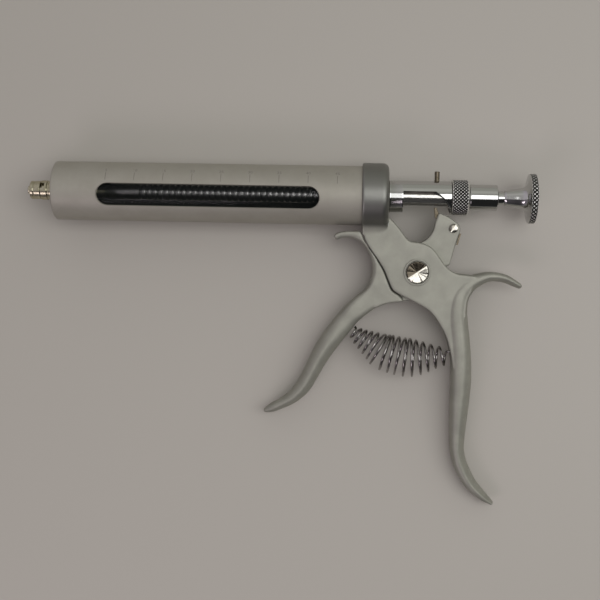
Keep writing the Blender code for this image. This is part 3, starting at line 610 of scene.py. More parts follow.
def upright(mesh, origin):
    """Stand a turned mesh up, so that its places run along Z over a point of the plane."""
    mesh.transform(turn_about("Y", -90.0, origin))
    return mesh


def bridge(work, rings):
    """Join rings of points one after another."""
    for near, far in zip(rings, rings[1:]):
        for k in range(len(near)):
            n = (k + 1) % len(near)
            work.faces.new((near[k], near[n], far[n], far[k]))


def bridge_and_close(work, rings):
    bridge(work, rings)
    work.faces.new(list(reversed(rings[0])))
    work.faces.new(rings[-1])


def add_flat(work, points, levels, shares=1.0):
    """Add a closed solid over an outline. Each level is (height, how far the outline is drawn in).

    shares says how much of that each point takes.
    """
    rings = []
    for height, drawn_in in levels:
        spots = inset(points, drawn_in * shares) if drawn_in else points
        rings.append([work.verts.new((float(x), float(y), height)) for x, y in spots])
    bridge_and_close(work, rings)


def add_handle(work, stations, slope=0.0):
    """Add a bar through stations (x, y, half width, half thickness, fullness), with round ends.

    slope is how much less full the flank on the right of the picture is.
    """
    line = smooth_line(stations, HANDLE_STEPS)
    rings = []
    for i, (x, y, width, thickness, fullness) in enumerate(line):
        ahead = line[min(i + 1, len(line) - 1)]
        behind = line[max(i - 1, 0)]
        along = Vector((ahead[0] - behind[0], ahead[1] - behind[1], 0.0)).normalized()
        centre = Vector((x, y, 0.0))
        size = (width, thickness, fullness, fullness - slope)
        rings.append(add_section(work, centre, along, size))
        if i == 0:
            rings = [add_section(work, centre - along * width * rise, along, size, share)
                     for rise, share in HANDLE_END] + rings
        if i == len(line) - 1:
            rings += [add_section(work, centre + along * width * rise, along, size, share)
                      for rise, share in reversed(HANDLE_END)]
    bridge_and_close(work, rings)


def add_section(work, centre, along, size, share=1.0):
    """One ring of a bar: a superellipse, which is an ellipse at fullness 2."""
    width, thickness, left_fullness, right_fullness = size
    across = Vector((-along.y, along.x, 0.0))
    ring = []
    for k in range(HANDLE_SIDES):
        turn = 2 * math.pi * (k + 0.5) / HANDLE_SIDES
        power = 2.0 / (right_fullness if math.cos(turn) > 0.0 else left_fullness)
        side, height = (math.copysign(abs(part) ** power, part) for part in (math.cos(turn), math.sin(turn)))
        spot = centre + across * (side * width * share) + Vector((0.0, 0.0, height * thickness * share))
        ring.append(work.verts.new(spot))
    return ring


def finished_mesh(work):
    bmesh.ops.recalc_face_normals(work, faces=work.faces)
    mesh = bpy.data.meshes.new("drawn")
    work.to_mesh(mesh)
    work.free()
    return mesh


def face_outwards(mesh):
    work = bmesh.new()
    work.from_mesh(mesh)
    bmesh.ops.recalc_face_normals(work, faces=work.faces)
    work.to_mesh(mesh)
    work.free()


def add_object(name, data):
    obj = bpy.data.objects.new(name, data)
    bpy.context.scene.collection.objects.link(obj)
    return obj


def evaluated_mesh(obj):
    """The object's mesh with its modifiers applied. The object is removed."""
    bpy.context.view_layer.update()
    depsgraph = bpy.context.evaluated_depsgraph_get()
    mesh = bpy.data.meshes.new_from_object(obj.evaluated_get(depsgraph))
    bpy.data.objects.remove(obj, do_unlink=True)
    return mesh


def with_modifiers(mesh, *modifiers):
    """Apply modifiers, each (kind, {setting: value}), to a mesh and return the result."""
    obj = add_object("work", mesh)
    for kind, settings in modifiers:
        modifier = obj.modifiers.new(kind.lower(), kind)
        for key, value in settings.items():
            setattr(modifier, key, value)
    return evaluated_mesh(obj)


def cut(mesh, *cutters):
    """Cut closed meshes out of a closed mesh."""
    for cutter in cutters:
        face_outwards(cutter)
        tool = add_object("tool", cutter)
        settings = {"operation": "DIFFERENCE", "solver": "EXACT", "object": tool}
        mesh = with_modifiers(mesh, ("BOOLEAN", settings))
        bpy.data.objects.remove(tool, do_unlink=True)
    return mesh


def solid(points, low, high):
    work = bmesh.new()
    add_flat(work, points, [(low, 0.0), (high, 0.0)])
    return finished_mesh(work)


def rod_solid(radius, low, high, origin, sides=64):
    """An upright cylinder over a point of the plane."""
    return upright(lathe(tube(low, high, 0.0, radius), sides, False), origin)


# Pieces
def coat(mesh, material):
    mesh.materials.clear()
    mesh.materials.append(material)


def place_piece(name, mesh, material):
    """Put a drawn mesh in the scene, in the row frame."""
    mesh.transform(TO_ROW)
    coat(mesh, material)
    return add_object(name, mesh)


def show(name, mesh, material, body, nodes=(), sharp_deg=35.0):
    """Put a mesh in the scene as a piece of the object."""
    face_outwards(mesh)
    obj = place_piece(name, mesh, material)
    mesh.shade_smooth()
    mesh.set_sharp_from_angle(angle=math.radians(sharp_deg))
    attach(obj, body)
    if nodes:
        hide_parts(*nodes)
    return obj


def paint(obj, material, chosen):
    """Give one more finish to the faces that the test picks, by (place, distance from the axis, normal)."""
    obj.data.materials.append(material)
    index = len(obj.data.materials) - 1
    for face in obj.data.polygons:
        spot = FROM_ROW @ face.center
        if chosen(spot, math.hypot(spot.y, spot.z), face.normal):
            face.material_index = index


# Barrel
def make_casing():
    """The satin casing, with its two long windows and a chamfer round each."""
    wall = CASING_TIP + FRONT_WALL
    profile = [(CASING_TIP, FRONT_HOLE), (CASING_TIP, CASING_RADIUS), (CASING_END, CASING_RADIUS),
               (CASING_END, CASING_BORE), (wall, CASING_BORE), (wall, FRONT_HOLE)]
    turn = turn_about("X", WINDOW_CLOCK_DEG)
    window = solid(slot_outline(WINDOW_FROM, WINDOW_TO, WINDOW_WIDTH), -20.0, 20.0)
    window.transform(turn)
    mesh = cut(lathe(softened(profile, 0.75, steps=5), 128), window, window_chamfer(1.0, turn),
               window_chamfer(-1.0, turn))
    casing = show("casing_shell", mesh, ALUMINIUM, "root", ["barrel_casing"], 28.0)

    def inside(spot, radius, normal):
        return spot.x > CASING_TIP + 1.5 and radius < CASING_BORE + 0.1

    # Painted shade: the inside of the casing is painted near-black.
    paint(casing, SHADE_BLACK, inside)


def window_chamfer(side, turn):
    """A cutter that opens out through the wall, so that it leaves a narrow chamfer at the surface."""
    work = bmesh.new()
    outline = slot_outline(WINDOW_FROM, WINDOW_TO, WINDOW_WIDTH)
    rings = []
    for grow, below in WINDOW_CHAMFER:
        heights = [(x, y, math.sqrt(max((CASING_RADIUS - below) ** 2 - y * y, 1.0)) * side)
                   for x, y in inset(outline, -grow)]
        rings.append([work.verts.new(spot) for spot in heights])
    bridge(work, rings)
    for ring, rise in ((rings[0], -0.6), (rings[-1], 0.6)):
        middle = work.verts.new((0.5 * (WINDOW_FROM + WINDOW_TO), 0.0, side * (CASING_RADIUS + rise)))
        for k in range(len(ring)):
            work.faces.new((ring[k], ring[(k + 1) % len(ring)], middle))
    mesh = finished_mesh(work)
    mesh.transform(turn)
    return mesh


def make_glass():
    mesh = lathe(softened(tube(GLASS_FROM, GLASS_TO, GLASS_BORE, GLASS_RADIUS), 0.3), 128)
    show("glass_tube", mesh, GLASS, "root", ["glass_barrel"])


def make_nozzle():
    hub = [(-152.3, 1.0), (-152.3, 3.0), (-143.7, 3.3), (-143.7, GLASS_RADIUS), (-140.2, GLASS_RADIUS),
           (-140.2, 10.4), (-138.0, 10.4), (-138.0, 1.0)]
    nut = [(-154.1, 3.6), (-154.1, 4.7), (-151.2, 4.7), (-150.9, 4.3), (-150.3, 4.3), (-150.0, 4.7),
           (-146.3, 4.7), (-146.3, 3.6)]
    cone = [(-160.8, 1.0), (-160.8, 1.95), (-153.9, 2.17), (-153.9, 3.2), (-152.6, 3.2), (-152.6, 1.0)]
    sleeve = [(-159.3, 3.6), (-159.3, 4.4), (-157.9, 4.4), (-157.7, 4.2), (-157.4, 4.2), (-157.2, 4.4),
              (-154.4, 4.4), (-154.4, 2.5), (-155.6, 2.5), (-155.6, 3.6)]
    notch = solid([(-154.6, 1.0), (-152.2, 1.0), (-152.2, 3.4), (-154.6, 3.4)], 1.0, 6.0)
    pieces = {"hub": (lathe(softened(hub, 0.15), 96), "nozzle_hub"),
              "muzzle_nut": (cut(lathe(softened(nut, 0.25), 96), notch), "nozzle_nut"),
              "outlet_cone": (lathe(softened(cone, 0.2), 64), "luer_cone"),
              "lock_sleeve": (lathe(softened(sleeve, 0.22), 96), "luer_lock_sleeve")}
    for name, (mesh, node) in pieces.items():
        show(name, mesh, NICKEL, "root", [node])


def make_rod():
    """The black rod, whose rings each have a flat crest and a narrow groove in front."""
    profile = [(-126.3, 0.0), (-126.3, 2.3), (-128.8, 2.3), (-128.8, 3.2), (-128.4, ROD_RADIUS),
               (RINGS_FROM - 0.5, ROD_RADIUS)]
    for ring in range(RING_COUNT):
        foot = RINGS_FROM + ring * MILLILITRE
        profile += [(foot + share * MILLILITRE, radius) for share, radius in RING_SHAPE]
    rings_to = RINGS_FROM + RING_COUNT * MILLILITRE
    profile += [(rings_to, RING_ROOT), (rings_to + 0.6, ROD_RADIUS), (KNOB_NECK - GAP, ROD_RADIUS),
                (KNOB_NECK - GAP, STUD_RADIUS), (STUD_END, STUD_RADIUS), (STUD_END, 0.0)]
    show("ratchet_rod", lathe(profile, 64, False), BLACKENED, "rod", ["piston_rod"], 50.0)


def diamond_relief(teeth, depth, low, high, top_radius):
    """Relief of a diamond knurl between two places, where the profile is at its full radius."""
    pitch = 2 * math.pi * top_radius / teeth

    def relief(place, radius, turn):
        if radius < top_radius - 0.02 or not low <= place <= high:
            return 0.0
        around = teeth * turn / (2 * math.pi)
        heights = []
        for lean in (1.0, -1.0):
            phase = (around + lean * place / pitch) % 1.0
            heights.append(1.0 - abs(2 * phase - 1.0))
        return depth * (1.0 - min(1.0, 1.5 * min(heights)))

    return relief


def spread(place_from, place_to, radius, count):
    return [(place, radius) for place in np.linspace(place_from, place_to, count)]


def make_knob():
    face = [(67.2, 3.68), (71.0, 4.33), (75.0, 5.0), (76.3, 5.6), (77.3, 6.6), (77.9, 8.0), (78.15, 9.6),
            (KNOB_RIM_FROM, KNOB_RADIUS - 0.3)]
    bore = STUD_RADIUS + GAP
    neck = [(STUD_END + GAP, 0.0), (STUD_END + GAP, bore), (KNOB_NECK, bore),
            (KNOB_NECK, KNOB_NECK_RADIUS - 0.2), (KNOB_NECK + 0.2, KNOB_NECK_RADIUS),
            (66.3, KNOB_NECK_RADIUS), (66.4, 3.0), (66.8, 3.0), (66.9, 3.5)]
    rim_from, rim_to = KNOB_RIM_FROM + 0.25, KNOB_END - 0.25
    rim = spread(rim_from, rim_to, KNOB_RADIUS, 21)
    back = [(KNOB_END - 0.08, 11.6), (KNOB_END, 11.4), (KNOB_END, 9.9), (KNOB_END - 0.12, 9.7),
            (KNOB_END - 0.12, 9.4), (KNOB_END, 9.2), (KNOB_END, 0.0)]
    relief = diamond_relief(KNOB_TEETH, KNOB_RELIEF, rim_from, rim_to, KNOB_RADIUS)
    mesh = lathe(neck + smooth_line(face, 6) + rim + back, KNOB_TEETH * 10, False, relief)
    knob = show("knob", mesh, CHROME, "rod", ["thumb_knob"], 40.0)
    paint(knob, KNURLED, lambda spot, radius, normal: radius > KNOB_RADIUS - 0.45)


# Rear end of the barrel
def make_guide():
    """The chrome guide tube, cut away on the side of the handles, where the pawl works."""
    ribs = []
    for place in np.linspace(13.4, 18.8, 13)[:-1]:
        ribs += [(place, GUIDE_RADIUS), (place + 0.15, GUIDE_RADIUS - 0.07), (place + 0.3, GUIDE_RADIUS)]
    profile = [(10.7, 6.9), (12.8, 6.9), (12.8, GUIDE_RADIUS), *ribs, (GUIDE_END, GUIDE_RADIUS),
               (GUIDE_END, 5.6), (46.0, 5.6), (46.0, GUIDE_BORE), (13.5, GUIDE_BORE), (13.5, 3.95),
               (10.7, 3.95)]
    slope = smooth_line([(34.0, NOTCH_EDGE), (36.5, 0.4), (39.2, -2.0), (41.1, -5.2), (NOTCH_TO, -7.2)], 5)
    notch = [(NOTCH_FROM, NOTCH_EDGE)] + slope + [(NOTCH_TO, NOTCH_LOW), (NOTCH_FROM, NOTCH_LOW)]
    ledge = [(min(x + NOTCH_LEDGE, GUIDE_END - 0.1), y) for x, y in notch[1:-1]]
    ledge += [(30.0, NOTCH_LOW), (30.0, NOTCH_EDGE)]
    hole = rod_solid(PIN_RADIUS + GAP, 3.0, 12.0, (PIN_X, 0.0), 48)
    hole.transform(turn_about("X", -90.0, (PIN_X, 0.0)) @ Matrix.Translation((-PIN_X, 0.0, 0.0)))
    mesh = cut(lathe(softened(profile, 0.3), 128), solid(notch, -12.0, 12.0), solid(ledge, 5.9, 12.0), hole)
    guide = show("guide", mesh, CHROME, "root", ["guide_tube"], 30.0)
    down = -TO_ROW.col[1].xyz.normalized()

    def milled(spot, radius, normal):
        return GUIDE_BORE + 0.1 < radius < GUIDE_RADIUS - 0.1 and normal.dot(down) > 0.99

    # Painted shade: the notch's end wall is painted near-black, for the shadow in the gap.
    def dark_end(spot, radius, normal):
        in_wall = GUIDE_BORE + 0.1 < radius < GUIDE_RADIUS - 0.1 and normal.dot(down) <= 0.99
        return in_wall and 34.0 < spot.x < GUIDE_END - 0.05 and spot.y < NOTCH_EDGE + 0.05

    paint(guide, ALUMINIUM, milled)
    paint(guide, SHADE_BLACK, dark_end)
    mesh = lathe(softened(tube(GUIDE_BORE, PIN_TOP, 0.0, PIN_RADIUS), 0.3, False), 48, False)
    mesh.transform(turn_about("Z", 90.0, (PIN_X, 0.0)))
    show("pin", mesh, BROWNED, "root", ["index_pin"])


def make_dose_adjuster():
    """The sleeve with a slot for each dose, the knurled ring and the tube behind it."""
    sleeve = lathe(softened(tube(13.9, 47.6, SLEEVE_BORE, SLEEVE_RADIUS), 0.1), 96)
    for n in range(DOSES):
        length = 2.0 + (DOSES - n) * MILLILITRE
        slot = solid(slot_outline(DOSE_SLOT_FROM, DOSE_SLOT_FROM + length, 2.6, 10), 2.0, 6.0)
        slot.transform(turn_about("X", 90.0 + n * DOSE_STEP_DEG))
        sleeve = cut(sleeve, slot)
    show("sleeve", sleeve, DULL_NICKEL, "dose", ["dose_sleeve"], 30.0)
    front, end, radius = DOSE_RING_FRONT, DOSE_RING_END, DOSE_RING_RADIUS
    profile = [(front, 5.95), (front, radius - 0.45), (front + 0.25, radius - 0.15)]
    profile += spread(front + 0.5, end - 0.9, radius, 57)
    profile += [(end - 0.7, radius - 0.12), (end - 0.1, 7.5), (end, 7.3), (end, 5.05), (47.9, 5.05),
                (47.9, SLEEVE_RADIUS + GAP), (46.3, SLEEVE_RADIUS + GAP), (46.3, 5.95)]
    relief = diamond_relief(RING_TEETH, RING_RELIEF, front + 0.5, end - 0.9, radius)
    ring = lathe(profile, RING_TEETH * 12, True, relief)
    show("knurled_ring", ring, KNURLED, "dose", ["dose_ring"])
    profile = [(48.2, 4.0), (48.2, 4.75), (50.5, 4.75), (50.5, REAR_TUBE_RADIUS),
               (REAR_TUBE_END, REAR_TUBE_RADIUS), (REAR_TUBE_END, 5.0), (59.7, 5.0), (59.7, 4.0)]
    rear = lathe(softened(profile, 0.5, steps=5), 128)
    show("rear_sleeve", rear, CHROME, "dose", ["rear_tube"])


# Castings
def casting(work, smoothing=4):
    """Fuse overlapping solids into one casting with small fillets and soft edges."""
    return with_modifiers(finished_mesh(work),
                          ("REMESH", {"mode": "VOXEL", "voxel_size": VOXEL, "adaptivity": 0.0}),
                          ("SMOOTH", {"factor": 0.5, "iterations": smoothing}))


def collar_fillet(radius):
    """Outline, in (y, z), of the fillet between the collar and the face of the plate."""
    reach = COLLAR_RADIUS + radius
    rise = PLATE_HALF + radius
    centre = (-math.sqrt(reach ** 2 - rise ** 2), rise)
    at_collar = math.degrees(math.atan2(-centre[1], -centre[0]))
    bend = arc(centre, radius, at_collar, -90.0, 8)
    return bend + [(centre[0], PLATE_HALF - 1.2), (-9.0, PLATE_HALF - 1.2), (-9.0, 8.0)]


def add_fillets(work):
    """Add the fillet on both faces of the plate, along the collar's length."""
    for side in (1.0, -1.0):
        rings = [[work.verts.new((x, y, z * side)) for y, z in collar_fillet(radius)]
                 for x, radius in FILLETS]
        bridge_and_close(work, rings)


def neck_outline():
    """Outline of the filler between the cheeks under the collar."""
    bend = arc(PIVOT, HUB_REACH, 140.0, 113.0, 6)
    return bend + [(20.2, -19.2), (17.8, -15.8), (15.3, -12.9), (12.0, -9.7), (11.2, -8.6), (2.2, -8.6),
                   polar(PIVOT, 32.0, 140.0)]


def root_outline():
    """Outline of the filler between the cheeks at the root of the rear handle."""
    bend = arc(PIVOT, HUB_REACH, 368.0, 292.0, 12)
    low = [polar(PIVOT, 21.0, 292.5), (38.6, -59.9), (41.6, -65.4), (44.2, -72.0)]
    inside_handle = [(47.0, -66.0), (46.5, -52.0), (50.0, -42.0), (50.0, -37.0)]
    return bend + low + inside_handle + [(45.9, -36.4), (42.2, -34.8)]


def make_frame():
    outline = smooth_line(PLATE_LEFT, 6) + [(48.0, -66.0), (47.5, -52.0), (51.5, -41.5)]
    outline += smooth_line(PLATE_RIGHT, 6) + [(11.4, -8.0), (0.3, -8.0)]
    work = bmesh.new()
    for side in (1.0, -1.0):
        add_flat(work, outline, cheek_levels(side))
    for filler in (neck_outline(), root_outline()):
        add_flat(work, filler, [(-FILLER_HALF, 0.0), (FILLER_HALF, 0.0)])
    add_handle(work, REAR_HANDLE, REAR_HANDLE_SLOPE)
    collar = [(0.0, 5.0), (0.0, COLLAR_RADIUS - 0.5), (0.5, COLLAR_RADIUS), (9.8, COLLAR_RADIUS)]
    collar += arc((9.8, COLLAR_RADIUS - 2.7), 2.7, 90.0, 0.0, 6)[1:] + [(COLLAR_LENGTH, 5.0)]
    turned = lathe(collar, 160)
    work.from_mesh(turned)
    bpy.data.meshes.remove(turned)
    add_fillets(work)
    bores = [(-4.0, 0.0), (-4.0, CASING_RADIUS + GAP), (10.6, CASING_RADIUS + GAP), (10.6, 7.2),
             (12.6, 7.2), (12.6, GUIDE_RADIUS + GAP), (44.0, GUIDE_RADIUS + GAP), (44.0, 0.0)]
    mesh = cut(casting(work), lathe(bores, 128, False),
               rod_solid(PIVOT_SCREW_RADIUS + GAP, -THROUGH, THROUGH, PIVOT))
    mark_turned(mesh)
    show("frame_casting", mesh, CAST, "root", ["frame"], 50.0)
    boss = [(PLATE_HALF - 0.4, 5.45), (PLATE_HALF + 0.75, 5.45), (PLATE_HALF + 0.75, 6.35),
            (PLATE_HALF - 0.4, 6.35)]
    for side, name in ((1.0, "near_boss"), (-1.0, "far_boss")):
        mesh = upright(lathe(softened([(side * place, radius) for place, radius in boss], 0.3), 96), PIVOT)
        mark_turned(mesh)
        show(name, mesh, CAST, "root")


def mark_turned(mesh):
    """Mark the collar, which is turned after casting, with 1 in the attribute turned."""
    spots = np.array([v.co for v in mesh.vertices])
    radius = np.hypot(spots[:, 1], spots[:, 2])
    round_part = np.clip((radius - COLLAR_RADIUS + 2.5) / 1.2, 0.0, 1.0)
    in_length = (spots[:, 0] < COLLAR_LENGTH + 0.5).astype(float)
    below = np.clip((spots[:, 1] + COLLAR_RADIUS - 0.4) / 1.8, 0.0, 1.0)
    mark(mesh, "turned", round_part * in_length * below)


def web_outline():
    """Outline of the trigger's web, hub and arm."""
    grip_side = [polar(PIVOT, 24.0, 147.0), (3.5, -24.9), (6.3, -31.0), (8.0, -35.2), (8.2, -40.5),
                 (6.0, -46.0), (6.0, -49.5), (12.0, -50.4), (17.0, -49.9), (24.1, -49.3)]
    arm = smooth_line(ARM_RIGHT[::-1], 4) + smooth_line(ARM_LEFT[::-1], 4)
    return grip_side + arc(PIVOT, 12.2, 266.0, 371.0, 18) + arm + arc(PIVOT, 12.2, 90.0, 145.0, 10)


def make_trigger():
    work = bmesh.new()
    add_flat(work, web_outline(), [(-WEB_HALF, 0.0), (WEB_HALF, 0.0)])
    finger = smooth_line(FINGER_EDGE, 6) + [(3.0, -49.0)]
    back = smooth_line(TRIGGER_BACK_EDGE, 6)
    belly = [math.exp(-((point[1] - FINGER_REST_Y) / FINGER_REST_REACH) ** 2) for point in finger]
    shares = np.concatenate([1.0 + FINGER_REST_SHARE * np.array(belly), np.full(len(back), BACK_EDGE_SHARE)])
    add_flat(work, finger + back, rounded_levels(TRIGGER_HALF, FINGER_EDGE_ROUND), shares)
    add_handle(work, FRONT_HANDLE)
    fork = arc(PIVOT, 36.0, 38.0, 80.0, 16) + arc(PIVOT, 20.5, 80.0, 38.0, 16)
    mesh = cut(casting(work, 8), solid(fork, -FORK_HALF, FORK_HALF),
               rod_solid(PIVOT_BUSH_RADIUS + GAP, -THROUGH, THROUGH, PIVOT),
               rod_solid(PAWL_SCREW_RADIUS + GAP, -THROUGH, THROUGH, PAWL_PIVOT))
    mark_turned(mesh)
    show("trigger_casting", mesh, CAST, "trigger_lever", ["trigger"], 50.0)


# Screws
def dished_face(radius, place):
    """Profile of a screw head whose face falls a little towards its middle."""
    fall = math.tan(math.radians(DISH_DEG))
    return [(place - (radius - reach) * fall, reach) for reach in np.linspace(radius, 0.0, DISH_STEPS + 1)]


def wear_half(mesh, origin, turn_deg, top, share=1.0):
    """Mark the half of a screw's face that lies to the left of its slot for painted shade, which the screw's
    finish darkens.
    """
    across = Matrix.Rotation(math.radians(turn_deg), 3, "Z") @ Vector((0.0, 1.0, 0.0))
    centre = Vector((*origin, 0.0))
    in_half = [v.co.z > top and across.dot(v.co - centre) > 0.1 for v in mesh.vertices]
    mark(mesh, "shaded_half", [share if inside else 0.0 for inside in in_half])


def streak(mesh, origin, top, radius, depth):
    """Cut shallow rays into a screw's face."""
    for v in mesh.vertices:
        side = v.co.xy - Vector(origin)
        if v.co.z > top and side.length < radius:
            turn = math.atan2(side.y, side.x)
            rays = sum(share * math.sin(count * turn + start) for count, start, share in STREAKS)
            v.co.z += depth * rays * side.length / radius


def driver_slot(origin, turn_deg, half_width, reach, low):
    slot = [(-reach, -half_width), (reach, -half_width), (reach, half_width), (-reach, half_width)]
    mesh = solid(slot, low, low + 3.0)
    mesh.transform(turn_about("Z", turn_deg, origin))
    return mesh


def make_pivot_screw(head, rim):
    profile = [(-head - 0.6, 0.0), (-head - 0.6, PIVOT_SCREW_RADIUS), (head, PIVOT_SCREW_RADIUS), (head, rim),
               (head + 0.85, rim), (head + 1.0, rim - 0.08), (head + 1.2, rim - 0.4)]
    mesh = upright(lathe(profile + dished_face(rim - 0.45, head + 1.2), 128, False), PIVOT)
    streak(mesh, PIVOT, head + 0.4, rim - 0.3, 0.04)
    mesh = cut(mesh, driver_slot(PIVOT, PIVOT_SLOT_DEG, 0.4, 7.0, head + 0.3))
    # Painted shade on one half of the face.
    wear_half(mesh, PIVOT, PIVOT_SLOT_DEG, head + 0.1)
    show("pivot_screw_head", mesh, SCREW, "root", ["pivot_screw"], 25.0)


def make_pivot_nut(head, rim):
    nut = [(-head - 0.9, 0.0), (-head - 0.9, 3.2), (-head, 3.2), (-head, rim), (-head - 1.3, rim),
           (-head - 1.3, 0.0)]
    mesh = upright(lathe(softened(nut, 0.4, False), 96, False), PIVOT)
    holes = [rod_solid(0.8, -THROUGH, -head - 0.7, (PIVOT[0] + side, PIVOT[1])) for side in (-3.1, 3.1)]
    show("pivot_cap_nut", cut(mesh, *holes), NICKEL, "root", ["pivot_nut"], 30.0)


def make_pawl_screw():
    low, high = -WEB_HALF - 0.6, WEB_HALF + GAP
    profile = [(low, 0.0), (low, PAWL_SCREW_RADIUS), (high, PAWL_SCREW_RADIUS), (high, 2.1),
               (high + 0.5, 2.1), (high + 0.8, 1.95), (high + 0.95, 1.6), (high + 1.0, 0.0)]
    mesh = upright(lathe(profile, 64, False), PAWL_PIVOT)
    mesh = cut(mesh, driver_slot(PAWL_PIVOT, PAWL_SLOT_DEG, 0.24, 3.0, high + 0.55))
    # Painted shade on part of one half of the face.
    wear_half(mesh, PAWL_PIVOT, PAWL_SLOT_DEG, high + 0.1, 0.6)
    show("pawl_screw_head", mesh, SCREW, "trigger_lever", ["pawl_screw"], 30.0)


# Pawl
def make_pawl():
    work = bmesh.new()
    outline = PAWL_OUTLINE[:2] + smooth_line(PAWL_OUTLINE[2:], 4)
    add_flat(work, outline, rounded_levels(PAWL_HALF, 0.15))
    mesh = cut(finished_mesh(work), rod_solid(PAWL_SCREW_RADIUS + GAP, -4.0, 4.0, PAWL_PIVOT))
    show("pawl_blade", mesh, BROWNED, "pawl_lever", ["pawl"])


# Return spring
def spring_points():
    """Centre points of the wire: coils that widen to the rear, with straight ends."""
    line = np.array(smooth_line(SPRING_LINE, 8))
    lengths = np.concatenate([[0.0], np.cumsum(np.linalg.norm(np.diff(line[:, :2], axis=0), axis=1))])
    share = np.linspace(0.0, 1.0, SPRING_COILS * POINTS_PER_COIL + 1)
    places = lengths[-1] * ((1.0 - SPRING_SPREAD) * share + SPRING_SPREAD * share ** 2)
    x, y, radius = (np.interp(places, lengths, line[:, k]) for k in range(3))
    along = np.stack([np.gradient(x), np.gradient(y)], axis=1)
    along /= np.linalg.norm(along, axis=1)[:, None]
    turn = 2 * math.pi * SPRING_COILS * share
    reach = radius - SPRING_WIRE / 2
    points = np.stack([x - along[:, 1] * np.cos(turn) * reach, y + along[:, 0] * np.cos(turn) * reach,
                       np.sin(turn) * reach], axis=1)
    start = points[0] - np.array([*along[0], 0.0]) * SPRING_WIRE
    end = points[-1] + np.array([*along[-1], 0.0]) * SPRING_WIRE
    return np.vstack([start, points, end])


def make_spring():
    curve = bpy.data.curves.new("wire", "CURVE")
    curve.dimensions = "3D"
    curve.bevel_depth = SPRING_WIRE / 2
    curve.bevel_resolution = 4
    curve.use_fill_caps = True
    points = spring_points()
    spline = curve.splines.new("POLY")
    spline.points.add(len(points) - 1)
    for spot, (x, y, z) in zip(spline.points, points):
        spot.co = (x, y, z, 1.0)
    mesh = evaluated_mesh(add_object("wire", curve))
    spring = place_piece("coil_spring", mesh, STEEL)
    mesh.shade_smooth()
    rear = TO_ROW @ Vector((*SPRING_LINE[-1][:2], 0.0))
    front = TO_ROW @ Vector((*SPRING_LINE[0][:2], 0.0))
    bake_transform(spring)
    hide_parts("return_spring")


# Scale on the casing
def around_casing(height):
    """Length round the casing of a place that lies so far above the barrel's middle in the picture."""
    return CASING_RADIUS * math.asin(height / CASING_RADIUS)


def show_marks(name, mesh):
    """Bend a flat drawing, whose y is a length round the casing, round it and show it."""
    for vertex in mesh.vertices:
        radius = CASING_RADIUS + MARK_LIFT + vertex.co.z
        turn = vertex.co.y / CASING_RADIUS
        vertex.co = (vertex.co.x, radius * math.sin(turn), radius * math.cos(turn))
    obj = place_piece(name, mesh, MARKS)
    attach(obj, "root")


def make_number(millilitre, place):
    text = bpy.data.curves.new("number", "FONT")
    text.body = str(millilitre)
    text.size = NUMBER_SIZE
    text.align_x = "CENTER"
    text.resolution_u = 3
    mesh = evaluated_mesh(add_object("number", text))
    mesh.transform(Matrix.Translation((place, around_casing(TICK_HIGH) + 0.7, 0.0)))
    show_marks("scale_number_%02d" % millilitre, mesh)


def make_scale():
    work = bmesh.new()
    for n in range(TICKS):
        place = FIRST_TICK + n * TICK_PITCH
        rows = [[work.verts.new((place + side, y, 0.0)) for side in (-TICK_WIDTH / 2, TICK_WIDTH / 2)]
                for y in np.linspace(around_casing(TICK_LOW), around_casing(TICK_HIGH), 5)]
        for near, far in zip(rows, rows[1:]):
            work.faces.new((near[0], near[1], far[1], far[0]))
        make_number(5 * (n + 1), place)
    mesh = bpy.data.meshes.new("ticks")
    work.to_mesh(mesh)
    work.free()
    show_marks("scale_ticks", mesh)


# CAD nodes that stay, with their finishes
def finish_nodes():
    kept = {"front_gasket": RUBBER, "rear_gasket": RUBBER, "piston_seal": RUBBER,
            "piston_front_plate": NICKEL, "piston_rear_plate": NICKEL, "rod_bush": NYLON,
            "pivot_bush": NYLON, "pawl_spring": BROWNED}
    for name, material in kept.items():
        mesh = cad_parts[name].data
        coat(mesh, material)
        mesh.shade_smooth()
        mesh.set_sharp_from_angle(angle=math.radians(35.0))


# Camera, table and light
def make_camera():
    data = bpy.data.cameras.new("camera")
    data.sensor_width = SENSOR_MM
    data.lens = FOCAL_PX / PICTURE_PX * data.sensor_width
    data.clip_start = 0.01
    camera = add_object("camera", data)
    tilt = math.radians(CAMERA_TILT_DEG)
    turn = Matrix.Rotation(math.radians(CAMERA_TURN_DEG), 3, "Z")
    lens = Matrix.Rotation(tilt, 3, "Y")
    eye = Vector((CAMERA_HEIGHT * math.tan(tilt), 0.0, CAMERA_HEIGHT))
    half = PICTURE_PX / 2
    ray = lens @ Vector(((COLLAR_PX[0] - half) / FOCAL_PX, -(COLLAR_PX[1] - half) / FOCAL_PX, -1.0))
    collar = eye + ray * (-eye.z / ray.z)
    camera.matrix_world = Matrix.LocRotScale(AXIS + turn @ (eye - collar), turn @ lens, None)
    bpy.context.scene.camera = camera


def make_floor():
    mesh = bpy.data.meshes.new("table")
    corners = [(x * FLOOR_REACH, y * FLOOR_REACH, 0.0) for x, y in ((-1, -1), (1, -1), (1, 1), (-1, 1))]
    mesh.from_pydata(corners, [], [(0, 1, 2, 3)])
    coat(mesh, Finish("table_top", FLOOR_COLOUR, 0.0, FLOOR_ROUGHNESS).material)
    add_object("table", mesh)


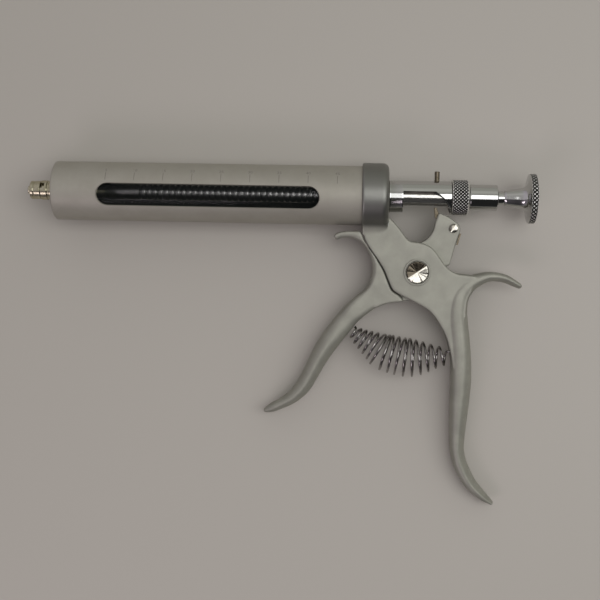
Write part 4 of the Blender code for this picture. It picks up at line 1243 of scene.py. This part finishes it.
def area_light(name, place, aim, size, power, colour=(1.0, 1.0, 1.0)):
    data = bpy.data.lights.new(name, "AREA")
    data.shape = "RECTANGLE"
    data.size, data.size_y = size
    data.energy = power
    data.color = colour
    light = add_object(name, data)
    light.location = place
    direction = Vector(aim) - Vector(place)
    light.rotation_euler = direction.to_track_quat("-Z", "Y").to_euler()


def make_world():
    """Even light for matt surfaces, and for metal a room that is dark on the handles' side."""
    world = bpy.data.worlds.new("studio")
    bpy.context.scene.world = world
    world.use_nodes = True
    studio = Nodes(world.node_tree)
    place = studio.add("TexCoord", {}).outputs["Generated"]
    toward = studio.add("VectorMath", {0: place, 1: LIGHT_SIDE}, operation="DOT_PRODUCT")
    lit = studio.span(toward.outputs["Value"], 0.0, 1.0, *LIGHT_LIMITS)
    even = studio.add("Background", {"Color": studio.mix(lit, EVEN_DARK, EVEN_LIGHT)})
    parts = studio.add("SeparateXYZ", {"Vector": place}).outputs
    angle = studio.add("Math", {0: parts["Y"], 1: parts["Z"]}, operation="ARCTAN2")
    turn = studio.span(angle.outputs["Value"], 0.0, 1.0, -math.pi, math.pi)
    left = studio.span(parts["X"], 1.0, 0.0, *LEFT_LIMITS)
    room = studio.mix(left, studio.ramp(turn, ROOM), studio.ramp(turn, ROOM_LEFT))
    mirrored = studio.add("Background", {"Color": room})
    glossy = studio.add("LightPath", {}).outputs["Is Glossy Ray"]
    inputs = {"Fac": glossy, 1: even.outputs["Background"], 2: mirrored.outputs["Background"]}
    mixed = studio.add("MixShader", inputs).outputs["Shader"]
    studio.tree.links.new(mixed, studio.tree.nodes["World Output"].inputs["Surface"])
    bpy.context.scene.view_settings.view_transform = "Standard"


make_camera()
make_floor()
area_light("softbox", *SOFTBOX)
area_light("side_lamp", *SIDE_LAMP)
make_world()
make_casing()
make_glass()
make_nozzle()
make_rod()
make_knob()
make_guide()
make_dose_adjuster()
make_frame()
make_trigger()
make_pivot_screw(PLATE_HALF + GAP, PIVOT_HEAD_RADIUS)
make_pivot_nut(PLATE_HALF + GAP, PIVOT_HEAD_RADIUS)
make_pawl_screw()
make_pawl()
make_spring()
make_scale()
finish_nodes()

bpy.context.view_layer.update()
